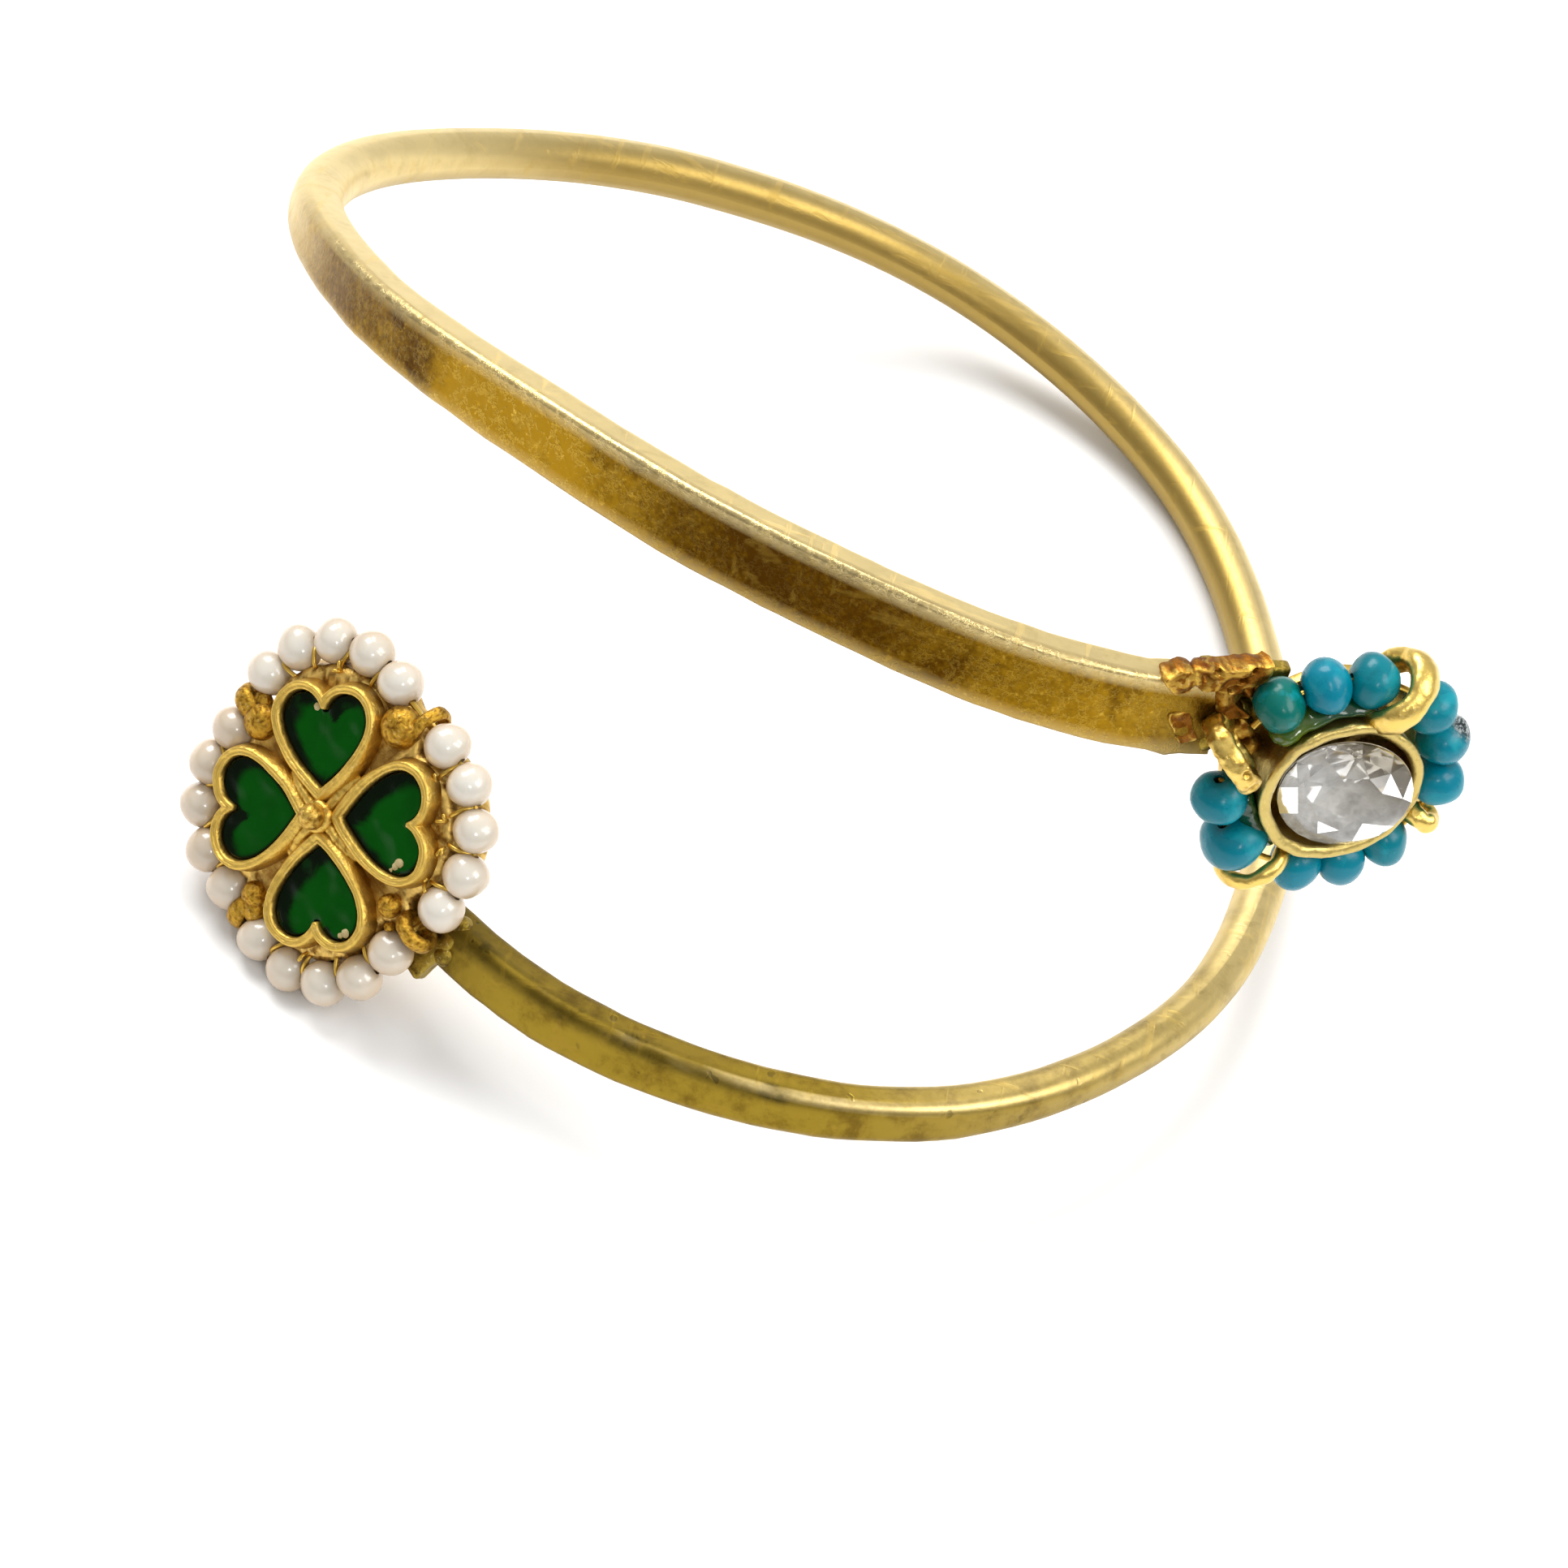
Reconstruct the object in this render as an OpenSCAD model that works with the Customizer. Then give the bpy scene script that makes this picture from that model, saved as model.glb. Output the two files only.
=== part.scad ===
// Open wrap-round bangle of gilt brass: one forged bar, round at the back and
// beaten flat along one arm, with a jewelled head soldered on each end.
// Every piece is drawn round the wrist axis and then laid down on its side.

/* [Bar] */
// Angle round the wrist where the bar starts, under the clover head
bar_start_angle = -111; // [-114:0.5:-109]
// Angle round the wrist where the bar stops, at the turquoise head
bar_end_angle = 308; // [305:0.5:308.5]
// Degrees of arc from one cross section of the bar to the next
bar_step = 5; // [3:0.5:10]
// Added to the radius of the whole bar
bar_open = 0; // [-0.5:0.05:0.5]

/* [Clover head] */
// Diameter of one pearl
pearl_d = 2.25; // [1.9:0.05:2.25]
// Radius of the bow that each row of pearls follows
row_bow_r = 5.4; // [5.4:0.05:5.6]
// Angle on the bow between neighbouring pearls
pearl_step = 25.2; // [25.1:0.1:25.6]
// Pearls in each of the four rows
pearls_in_row = 5; // [3:2:5]
// Height of the rim of the heart cells above the plane of the pearls
clover_top = 1.5; // [1.2:0.05:1.8]
// Width of one heart over its wall
heart_w = 6.5; // [5.8:0.1:6.6]
// Distance from the clover's centre to the top of a heart's lobes
heart_reach = 6.9; // [6.5:0.05:7]
// Distance from the clover's centre to the outer point of a heart
heart_tip = 1; // [0.8:0.1:1.4]
// Wall of a heart cell
heart_wall = 0.5; // [0.35:0.05:0.6]
// Depth of the glass below the rim of its cell
glass_sunk = 0.35; // [0.2:0.05:0.6]
// Radius of the ball at the centre of the clover
centre_ball_r = 0.88; // [0.7:0.02:1]

/* [Turquoise head] */
// Diameter of one turquoise bead
bead_d = 2.6; // [2.3:0.05:2.65]
// Diameter of the one larger turquoise bead
big_bead_d = 2.9; // [2.3:0.05:2.9]
// Length of one turquoise bead along its wire
bead_len = 2.25; // [2:0.05:2.25]
// Radius of the ring of turquoise beads
bead_ring_r = 5.75; // [5.7:0.05:5.9]
// Angle between neighbouring beads in a row
bead_step = 24.5; // [24:0.1:25]
// Outer radius of the cup at its rim
cup_rim_r = 4.2; // [4.15:0.05:4.25]
// Outer radius of the cup at its foot
cup_foot_r = 3.95; // [3.9:0.05:4]
// Height of the cup's rim above the plane of the beads
cup_top = 1.6; // [1.3:0.05:2]
// Wall of the cup at its rim
cup_wall = 0.42; // [0.36:0.02:0.44]
// Radius of the crystal at its girdle
crystal_r = 3.27; // [3:0.01:3.3]
// Lean of the crystal in its cup, in degrees
crystal_lean = 5; // [0:1:6]

/* [Wire and gaps] */
// Radius of the wires that carry the pearls and beads
wire_r = 0.16; // [0.12:0.02:0.2]
// Gap left all round a wire in its bore
bore_gap = 0.18; // [0.16:0.02:0.2]
// Gap between a stone and the metal round it
stone_gap = 0.06; // [0.04:0.02:0.1]

/* [Rest] */
// Turn about the wrist axis that brings the gap between the heads to the front
rest_spin = -7.8; // [-180:0.1:180]
// Lean of the wrist axis towards the back, in degrees
rest_lean_back = 15.13; // [-60:0.01:60]
// Lean of the wrist axis towards the right, in degrees
rest_lean_right = 8.81; // [-60:0.01:60]
// Shift that puts the middle of the footprint at the origin
rest_shift = [-0.59, 1.58, 13.15]; // [-60:0.01:60]

/* [Hidden] */
$fn = 48;

// Cross sections of the bar, one for every station_step degrees round the wrist
station_first = -120;
station_step = 30;
// columns: radius, height along the wrist, width along the wrist, thickness, corner radius
stations = [
    [26.6, -16.6, 2.9, 2.1, 0.50],
    [29.5, -16.05, 3.0, 2.2, 0.50],
    [32.25, -13.45, 2.6, 2.1, 0.60],
    [31.45, -10.0, 2.4, 2.4, 1.15],
    [29.35, -7.3, 2.75, 2.75, 1.35],
    [29.05, -4.8, 2.85, 2.85, 1.40],
    [31.25, -2.3, 2.75, 2.75, 1.35],
    [31.6, 0.15, 2.65, 2.65, 1.30],
    [30.3, 2.0, 2.85, 2.85, 1.40],
    [30.6, 3.3, 2.85, 2.85, 1.40],
    [32.05, 5.7, 2.95, 2.85, 1.30],
    [30.85, 9.7, 3.3, 2.25, 0.60],
    [29.1, 12.6, 3.9, 2.05, 0.35],
    [30.6, 14.4, 4.2, 1.8, 0.30],
    [33.7, 15.2, 4.4, 1.85, 0.30],
    [33.7, 15.8, 4.4, 1.85, 0.30],
];
corner_points = 4;

// Places of the two heads: columns: angle round the wrist, radius, height,
// way the face looks round the wrist, how far it looks up, turn in its own plane
clover_place = [-124.4, 29.35, -14.3, -118, 14, 123];
flower_place = [-42, 37.1, 13.9, -60, 0, 120];

// Rows of pearls: columns: direction, distance out to the bow's centre, sideways shift
pearl_rows = [[90, 3.6, 0.3], [0, 3.5, -0.1], [-90, 3.35, -0.25], [180, 3.1, 0.15]];
// Angle on the bow at which a row's wire turns towards the next row
row_end_angle = 59;
wire_steps = 14;
wire_sides = 8;

// Corner rings that the wires run through
// columns: angle on the head, radius of the ring's centre, its height, ring radius, wire radius, turn
clover_rings = [
    [45, 7.9, 0.0, 0.95, 0.36, 0],
    [135, 7.9, 0.0, 0.95, 0.36, 0],
    [225, 7.9, 0.0, 0.95, 0.36, 0],
    [315, 7.9, 0.0, 0.95, 0.36, 0],
];
flower_rings = [
    [51, 5.5, 0.1, 1.85, 0.48, -20],
    [141, 6.7, 0.8, 2.05, 0.52, -31],
    [222, 5.95, 0.0, 1.60, 0.38, -25],
    [315, 5.7, 0.0, 1.20, 0.48, 0],
];
// Grains in the notches between the hearts: columns: angle, distance out, radius
grains = [
    [45, 6.55, 0.85],
    [135, 6.45, 0.62],
    [225, 6.35, 0.58],
    [315, 6.10, 0.62],
];
// Turquoise beads, counted in steps from the middle of each of the four rows
// columns: angle of the row's middle, first bead, last bead
bead_rows = [[90, -1, 1], [0, -1, 1], [270, -1, 1], [180, -1, 0]];
big_bead = 10;

// Drum under the clover: a round core with a lobe behind each row of pearls
// and a small one at each corner, where a ring is soldered on
drum_core_r = 6.4;
drum_corner_out = 5.9;
drum_corner_r = 1.1;
drum_lobe_r = row_bow_r - pearl_d / 2 - 0.15;
bead_wire_start = 164;
bead_wire_turn = 326;
drum_foot = -2.6;
drum_top = 0.6;
grain_z = 0.75;
centre_ball_z = 1.85;
heart_lobe_x = 1.4;
heart_notch_fill = 0.95;
heart_floor = 0.4;
// Tabs that the bar is soldered to
// columns: x and y of one end, direction, length, width, foot, top
clover_tab = [3.5, -4.0, -50, 3.9, 3.9, -2.2, -1.25];
flower_tab = [-6.3, 5.9, -24, 4.8, 4.4, -2.3, -1.45];
// Lumps of solder: columns: x, y, height, radius
clover_solder = [[7.0, -5.3, -1.8, 0.62], [6.15, -6.8, -1.75, 0.62]];
flower_solder = [
    [-5.6, 7.0, -1.5, 0.8], [-4.6, 5.9, -1.5, 0.9], [-5.2, 4.4, -1.1, 0.9],
    [-5.9, 3.4, -1.3, 0.7], [-3.9, 4.5, -1.5, 0.7],
];
plate_r = 5.2;
plate_foot = -2.1;
plate_top = -1.45;
cup_floor = -1.2;

function pearl_count() = len(pearl_rows) * pearls_in_row;
function bead_angles() = [
    for (row = bead_rows) for (k = [row[1]:row[2]]) row[0] - k * bead_step
];
function bead_count() = len(bead_angles());
function pearl_row(i) = pearl_rows[floor((i - 1) / pearls_in_row)];
function pearl_angle(i) = ((pearls_in_row - 1) / 2 - (i - 1) % pearls_in_row) * pearl_step;
function turned(p, angle) =
    [p[0] * cos(angle) - p[1] * sin(angle), p[0] * sin(angle) + p[1] * cos(angle), 0];
function row_point(row, angle) =
    turned([row[1] + row_bow_r * cos(angle), row[2] + row_bow_r * sin(angle)], row[0]);
function numbered(word, i) = str(word, "_", i < 10 ? "0" : "", i);

function unit(v) = v / norm(v);

// Smooth curve through four neighbouring rows of a table, at t from 0 to 1
function smooth_row(a, b, c, d, t) = 0.5 * (
    2 * b + (c - a) * t + (2 * a - 5 * b + 4 * c - d) * t * t
    + (3 * b - a - 3 * c + d) * t * t * t);
function row_at(i) = stations[max(0, min(len(stations) - 1, i))];
function station(angle) =
    let (
        u = (angle - station_first) / station_step,
        i = floor(u)
    )
    smooth_row(row_at(i - 1), row_at(i), row_at(i + 1), row_at(i + 2), u - i);
function bar_centre(angle) =
    let (s = station(angle))
    [(s[0] + bar_open) * cos(angle), (s[0] + bar_open) * sin(angle), s[1]];

// Points of a cross section with rounded corners, as [along the wrist, outwards]
function section(w, t, c) = [
    for (k = [0:3]) for (j = [0:corner_points - 1])
        let (
            a = 90 * k + 90 / corner_points * (j + 0.5),
            sx = (k == 0 || k == 3) ? 1 : -1,
            sy = k < 2 ? 1 : -1
        )
        [sx * (w / 2 - c) + c * cos(a), sy * (t / 2 - c) + c * sin(a)]
];
function bar_ring(angle) =
    let (
        s = station(angle),
        along = unit(bar_centre(angle + 0.5) - bar_centre(angle - 0.5)),
        radial = [cos(angle), sin(angle), 0],
        out = unit(radial - along * (along * radial)),
        up = cross(out, along)
    )
    [for (p = section(s[2], s[3], s[4])) bar_centre(angle) + up * p[0] + out * p[1]];

module bar() {
    rings = round((bar_end_angle - bar_start_angle) / bar_step);
    sides = 4 * corner_points;
    points = [
        for (i = [0:rings])
            each bar_ring(bar_start_angle + (bar_end_angle - bar_start_angle) * i / rings)
    ];
    polyhedron(points, concat(
        [[for (j = [0:sides - 1]) j]],
        [[for (j = [0:sides - 1]) rings * sides + sides - 1 - j]],
        [for (i = [0:rings - 1]) for (j = [0:sides - 1])
            [i * sides + j, (i + 1) * sides + j,
             (i + 1) * sides + (j + 1) % sides, i * sides + (j + 1) % sides]]
    ));
}

module at_head(place) {
    translate([place[1] * cos(place[0]), place[1] * sin(place[0]), place[2]])
        rotate([0, 90 - place[4], place[3]])
            rotate([0, 0, place[5]])
                children();
}

// Puts a piece on a head's ring, with its own axis along the wire
module on_ring(angle, radius, height = 0, turn = 0) {
    rotate([0, 0, angle])
        translate([radius, 0, height])
            rotate([90, 0, turn])
                children();
}

module torus(ring_r, tube_r) {
    rotate_extrude() translate([ring_r, 0]) circle(tube_r);
}

module corner_rings(table) {
    for (row = table)
        on_ring(row[0], row[1], row[2], row[5]) torus(row[3], row[4]);
}

// A heart with its point towards the centre of the clover, drawn smaller by inset
module heart_outline(inset) {
    lobe_r = heart_w / 2 - heart_lobe_x;
    lobe_y = heart_reach - lobe_r;
    fall = lobe_y - heart_tip;
    side_r = (heart_w / 2 + fall * fall / (heart_w / 2)) / 2;
    side_x = side_r - heart_w / 2;
    for (side = [-1, 1])
        translate([side * heart_lobe_x, lobe_y]) circle(lobe_r - inset);
    intersection() {
        translate([-side_x, lobe_y]) circle(side_r - inset, $fn = 96);
        translate([side_x, lobe_y]) circle(side_r - inset, $fn = 96);
        translate([-heart_w, 0]) square([2 * heart_w, lobe_y]);
    }
    translate([-heart_lobe_x / 2, lobe_y - 0.01])
        square([heart_lobe_x, heart_notch_fill - inset]);
}

module drum_outline() {
    circle(drum_core_r);
    for (row = pearl_rows)
        rotate(row[0]) translate([row[1], row[2]]) circle(drum_lobe_r);
    for (row = clover_rings)
        rotate(row[0]) translate([drum_corner_out, 0]) circle(drum_corner_r);
}

module solder(tab, lumps) {
    translate([tab[0], tab[1], tab[5]])
        rotate([0, 0, tab[2]])
            translate([0, -tab[4] / 2, 0])
                cube([tab[3], tab[4], tab[6] - tab[5]]);
    for (row = lumps)
        translate([row[0], row[1], row[2]]) sphere(row[3]);
}

module clover_frame() {
    difference() {
        union() {
            translate([0, 0, drum_foot])
                linear_extrude(drum_top - drum_foot) drum_outline();
            for (k = [0:3])
                rotate([0, 0, 90 * k])
                    translate([0, 0, drum_top - 0.2])
                        linear_extrude(clover_top - drum_top + 0.2) heart_outline(0);
            for (g = grains)
                rotate([0, 0, g[0]])
                    translate([g[1], 0, grain_z]) sphere(g[2]);
            corner_rings(clover_rings);
            solder(clover_tab, clover_solder);
        }
        for (k = [0:3])
            rotate([0, 0, 90 * k])
                translate([0, 0, heart_floor])
                    linear_extrude(clover_top) heart_outline(heart_wall);
    }
    translate([0, 0, centre_ball_z]) sphere(centre_ball_r);
    cylinder(r = heart_tip + 0.15, h = clover_top - 0.1);
}

module cup() {
    rotate_extrude()
        polygon([
            [0, plate_foot], [cup_foot_r, plate_foot], [cup_foot_r, plate_top],
            [cup_rim_r, cup_top], [cup_rim_r - cup_wall, cup_top],
            [cup_foot_r - cup_wall, cup_floor], [0, cup_floor]
        ]);
}

module flower_frame() {
    translate([0, 0, plate_foot]) cylinder(r = plate_r, h = plate_top - plate_foot);
    cup();
    corner_rings(flower_rings);
    solder(flower_tab, flower_solder);
}

module bangle() {
    color("goldenrod")
        union() {
            bar();
            at_head(clover_place) clover_frame();
            at_head(flower_place) flower_frame();
        }
}

module green_heart(k) {
    color("darkgreen")
        at_head(clover_place)
            rotate([0, 0, 90 - 90 * k])
                translate([0, 0, heart_floor + stone_gap])
                    linear_extrude(clover_top - glass_sunk - heart_floor - stone_gap)
                        heart_outline(heart_wall + stone_gap);
}

// Cut stone: an eight-sided table, a sixteen-sided girdle and a pointed back
module crystal() {
    table_r = 0.55 * crystal_r;
    crown_h = 0.5;
    girdle_h = 0.2;
    back_h = 1.45;
    color("whitesmoke")
        at_head(flower_place)
            translate([0.22, -0.16, 1.0])
                rotate([crystal_lean, crystal_lean / 2, 11.25])
                    hull() {
                        translate([0, 0, crown_h + girdle_h])
                            linear_extrude(0.01) circle(table_r, $fn = 8);
                        linear_extrude(girdle_h) circle(crystal_r, $fn = 16);
                        translate([0, 0, -back_h])
                            linear_extrude(0.01) circle(0.15, $fn = 8);
                    }
}

// A bead turned about its wire, flattened at its ends where len is under d
module drilled_bead(d, len) {
    round_r = len / 2;
    rotate_extrude()
        intersection() {
            union() {
                translate([d / 2 - round_r, 0]) circle(round_r);
                translate([0, -round_r]) square([max(0.001, d / 2 - round_r), len]);
            }
            translate([wire_r + bore_gap, -len]) square([d, 2 * len]);
        }
}

// Puts a piece on the bow of a row of pearls
module on_bow(row, angle) {
    rotate([0, 0, row[0]])
        translate([row[1], row[2], 0])
            on_ring(angle, row_bow_r)
                children();
}

module pearl(i) {
    color("ivory")
        at_head(clover_place)
            on_bow(pearl_row(i), pearl_angle(i)) drilled_bead(pearl_d, pearl_d);
}

module turquoise(i) {
    color("darkturquoise")
        at_head(flower_place)
            on_ring(bead_angles()[i - 1], bead_ring_r)
                drilled_bead(i == big_bead ? big_bead_d : bead_d, bead_len);
}

// Points along the pearls' wire, row by row and back to the first one
function wire_path() = [
    for (row = pearl_rows) for (k = [0:wire_steps])
        row_point(row, row_end_angle * (1 - 2 * k / wire_steps))
];

// Four bowed lengths of wire, joined by straight ones through the corner rings
module pearl_wire() {
    path = wire_path();
    count = len(path);
    points = [
        for (i = [0:count - 1])
            let (
                along = unit(path[(i + 1) % count] - path[(i + count - 1) % count]),
                out = cross([0, 0, 1], along)
            )
            for (j = [0:wire_sides - 1])
                path[i] + wire_r * (out * cos(360 * j / wire_sides)
                    + [0, 0, sin(360 * j / wire_sides)])
    ];
    color("gold")
        at_head(clover_place)
            polyhedron(points, [
                for (i = [0:count - 1]) for (j = [0:wire_sides - 1])
                    [i * wire_sides + j, (i + 1) % count * wire_sides + j,
                     (i + 1) % count * wire_sides + (j + 1) % wire_sides,
                     i * wire_sides + (j + 1) % wire_sides]
            ]);
}

// One wire round the head, open where the bar is soldered on
module turquoise_wire() {
    color("gold")
        at_head(flower_place)
            rotate([0, 0, bead_wire_start])
                rotate_extrude(angle = bead_wire_turn)
                    translate([bead_ring_r, 0]) circle(wire_r);
}

module at_rest() {
    translate(rest_shift)
        rotate([-rest_lean_back, rest_lean_right, 0])
            rotate([0, 0, rest_spin])
                children();
}

at_rest() bangle();
for (i = [1:4])
    at_rest() green_heart(i);
at_rest() crystal();
for (i = [1:pearl_count()])
    at_rest() pearl(i);
for (i = [1:bead_count()])
    at_rest() turquoise(i);
at_rest() pearl_wire();
at_rest() turquoise_wire();
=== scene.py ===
import bpy
import bmesh
import math
import random
from mathutils import Matrix, Vector, noise


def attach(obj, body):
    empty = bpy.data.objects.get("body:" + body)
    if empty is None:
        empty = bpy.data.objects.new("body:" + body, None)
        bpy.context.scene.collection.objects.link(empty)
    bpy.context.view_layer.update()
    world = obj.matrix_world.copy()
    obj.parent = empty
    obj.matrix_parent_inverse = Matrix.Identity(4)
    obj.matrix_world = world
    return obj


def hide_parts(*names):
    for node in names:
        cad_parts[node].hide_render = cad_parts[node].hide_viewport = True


noise.seed_set(5)  # noise_vector would differ from run to run without it

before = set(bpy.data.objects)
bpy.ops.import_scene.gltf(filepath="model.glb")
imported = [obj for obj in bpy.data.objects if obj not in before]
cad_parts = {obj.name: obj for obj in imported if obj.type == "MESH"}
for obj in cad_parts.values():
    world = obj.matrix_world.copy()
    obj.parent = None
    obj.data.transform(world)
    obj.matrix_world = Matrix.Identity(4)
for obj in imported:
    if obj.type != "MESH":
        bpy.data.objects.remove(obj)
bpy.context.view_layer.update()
scene = bpy.context.scene
print("stage: frame loaded")

# how the bangle lies, and the camera that looks at it (millimetres and degrees)
rest = {
    "shift": (-0.59, 1.58, 13.15),
    "leanBack": -15.13,
    "leanRight": 8.81,
    "spin": -7.8,
}
photoCamera = {
    "place": (0.62, -208.63, 227.65),
    "right": (0.9641, 0.198, 0.1767),
    "up": (-0.2654, 0.7195, 0.6418),
    "lens": 127.8,
    "sensor": 36.0,
}


def turned(degrees, axis="Z"):
    return Matrix.Rotation(math.radians(degrees), 4, axis)


restMatrix = (
    Matrix.Scale(0.001, 4) @ Matrix.Translation(rest["shift"])
    @ turned(rest["leanRight"], "Y") @ turned(rest["leanBack"], "X") @ turned(rest["spin"])
)


def polar(angle, distance, height=0.0):
    a = math.radians(angle)
    return Vector((distance * math.cos(a), distance * math.sin(a), height))


def headMatrix(angle, radius, height, yaw, pitch, turn):
    place = Matrix.Translation(polar(angle, radius, height))
    return restMatrix @ place @ turned(yaw) @ turned(90 - pitch, "Y") @ turned(turn)


cloverMatrix = headMatrix(-124.4, 29.35, -14.3, -118, 14, 123)
flowerMatrix = headMatrix(-42, 37.1, 13.9, -60, 0, 120)


def setCamera():
    right = Vector(photoCamera["right"]).normalized()
    up = Vector(photoCamera["up"])
    up = (up - right * up.dot(right)).normalized()
    back = right.cross(up)
    place = Vector(photoCamera["place"]) * 0.001
    data = bpy.data.cameras.new("photoCamera")
    data.lens = photoCamera["lens"]
    data.sensor_width = photoCamera["sensor"]
    data.clip_start = 0.01
    data.clip_end = 20
    cam = bpy.data.objects.new("photoCamera", data)
    turn = Matrix((right, up, back)).transposed().to_4x4()
    cam.matrix_world = Matrix.Translation(place) @ turn
    scene.collection.objects.link(cam)
    scene.camera = cam


setCamera()
print("stage: camera")


def floatLayer(bm, name):
    return bm.verts.layers.float.get(name) or bm.verts.layers.float.new(name)


def loft(bm, rings, closed=False, capStart=False, capEnd=False, marks=None):
    # one circle, extruded from ring to ring; marks are float layers, one value a point
    slot = bm.verts.layers.int.get("slot") or bm.verts.layers.int.new("slot")
    layers = [(floatLayer(bm, name), values) for name, values in (marks or {}).items()]
    verts = bmesh.ops.create_circle(bm, segments=len(rings[0]), radius=1)["verts"]
    edges = first = list(dict.fromkeys(e for v in verts for e in v.link_edges))
    for i, v in enumerate(verts):
        v[slot] = i
    for r, ring in enumerate(rings):
        if r:
            geom = bmesh.ops.extrude_edge_only(bm, edges=edges)["geom"]
            verts = [g for g in geom if isinstance(g, bmesh.types.BMVert)]
            edges = [g for g in geom if isinstance(g, bmesh.types.BMEdge)]
            edges = [e for e in edges if all(v in verts for v in e.verts)]
            verts.sort(key=lambda v: v[slot])
        for v, p in zip(verts, ring):
            v.co = p
        for layer, values in layers:
            for v, value in zip(verts, values[r]):
                v[layer] = value
    if closed:
        bmesh.ops.bridge_loops(bm, edges=first + edges)
    if capStart:
        bmesh.ops.contextual_create(bm, geom=first)
    if capEnd:
        bmesh.ops.contextual_create(bm, geom=edges)


def joinTo(bm, part):
    # the part's mesh is added to bm, and the part is freed
    temp = bpy.data.meshes.new("part")
    part.to_mesh(temp)
    part.free()
    bm.from_mesh(temp)
    bpy.data.meshes.remove(temp)


def finishPiece(name, bm, matrix, material, angle=40, merge=0.0):
    if merge:
        bmesh.ops.remove_doubles(bm, verts=bm.verts, dist=merge)
    bmesh.ops.recalc_face_normals(bm, faces=bm.faces)
    mesh = bpy.data.meshes.new(name)
    bm.to_mesh(mesh)
    bm.free()
    mesh.transform(matrix)
    mesh.shade_smooth()
    if angle < 180:
        mesh.set_sharp_from_angle(angle=math.radians(angle))
    mesh.materials.append(material)
    piece = bpy.data.objects.new(name, mesh)
    scene.collection.objects.link(piece)
    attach(piece, "root")
    return piece


def smoothstep(a, b, x):
    t = max(0.0, min(1.0, (x - a) / (b - a)))
    return t * t * (3 - 2 * t)


def splinePoint(a, b, c, d, t):
    # a smooth curve from b to c, with a and d as the points beside them
    return 0.5 * (2 * b + (c - a) * t + (2 * a - 5 * b + 4 * c - d) * t * t
                  + (3 * b - a - 3 * c + d) * t * t * t)


def setInput(socket, value):
    # an output of another node is linked, a constant is set
    if isinstance(value, bpy.types.NodeSocket):
        socket.id_data.links.new(value, socket)
    else:
        socket.default_value = value


def setInputs(node, **inputs):
    # an underscore stands for a space in an input's name
    for key, value in inputs.items():
        setInput(node.inputs[key.replace("_", " ")], value)


def addNode(tree, kind, settings=None, **inputs):
    node = tree.nodes.new(kind)
    for key, value in (settings or {}).items():
        setattr(node, key, value)
    setInputs(node, **inputs)
    return node


def mathNode(operation, *values, clamp=False):
    tree = next(v.id_data for v in values if isinstance(v, bpy.types.NodeSocket))
    node = addNode(tree, "ShaderNodeMath", {"operation": operation, "use_clamp": clamp})
    for socket, value in zip(node.inputs, values):
        setInput(socket, value)
    return node.outputs[0]


def times(a, b, clamp=False):
    return mathNode("MULTIPLY", a, b, clamp=clamp)


def plus(a, b):
    return mathNode("ADD", a, b)


def minus(a, b):
    return mathNode("SUBTRACT", a, b)


def weighted(start, *terms):
    # start, plus each value times its weight
    for value, weight in terms:
        start = plus(start, times(value, weight))
    return start


def rangeNode(value, low, high, toLow=0.0, toHigh=1.0):
    node = addNode(value.id_data, "ShaderNodeMapRange", {"interpolation_type": "SMOOTHSTEP"}, Value=value,
                   From_Min=low, From_Max=high, To_Min=toLow, To_Max=toHigh)
    return node.outputs["Result"]


def mixColor(factor, a, b):
    node = addNode(factor.id_data, "ShaderNodeMix", {"data_type": "RGBA"})
    for index, value in ((0, factor), (6, a), (7, b)):  # the colour inputs are numbers 6 and 7
        setInput(node.inputs[index], value)
    return node.outputs[2]


def painted(base, *coats):
    # coats laid over a base colour one after the other, each as (where, colour)
    color = (*base, 1)
    for mask, paint in coats:
        color = mixColor(mask, color, (*paint, 1))
    return color


def noiseAt(coords, size, detail=3.0, roughness=0.5):
    return addNode(coords.id_data, "ShaderNodeTexNoise", None, Vector=coords, Scale=size,
                   Detail=detail, Roughness=roughness).outputs["Fac"]


def bumpNode(height, strength, distance):
    return addNode(height.id_data, "ShaderNodeBump", None, Height=height,
                   Strength=strength, Distance=distance).outputs["Normal"]


def attribute(shader, name):
    return addNode(shader.id_data, "ShaderNodeAttribute", {"attribute_name": name}).outputs["Fac"]


def newGroup(name, output, *numbers):
    # takes a Vector and some numbers, and gives one number
    group = bpy.data.node_groups.new(name, "ShaderNodeTree")
    group.interface.new_socket(name="Vector", in_out="INPUT", socket_type="NodeSocketVector")
    for label in numbers:
        group.interface.new_socket(name=label, in_out="INPUT", socket_type="NodeSocketFloat")
    group.interface.new_socket(name=output, in_out="OUTPUT", socket_type="NodeSocketFloat")
    return group, group.nodes.new("NodeGroupInput").outputs, group.nodes.new("NodeGroupOutput").inputs[0]


def placeGroup(group, coords, **numbers):
    return addNode(coords.id_data, "ShaderNodeGroup", {"node_tree": group}, Vector=coords, **numbers).outputs[0]


def newMaterial(name):
    material = bpy.data.materials.new(name)
    material.use_nodes = True
    tree = material.node_tree
    coords = tree.nodes.new("ShaderNodeTexCoord").outputs["Object"]
    return material, tree.nodes["Principled BSDF"], coords


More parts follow.
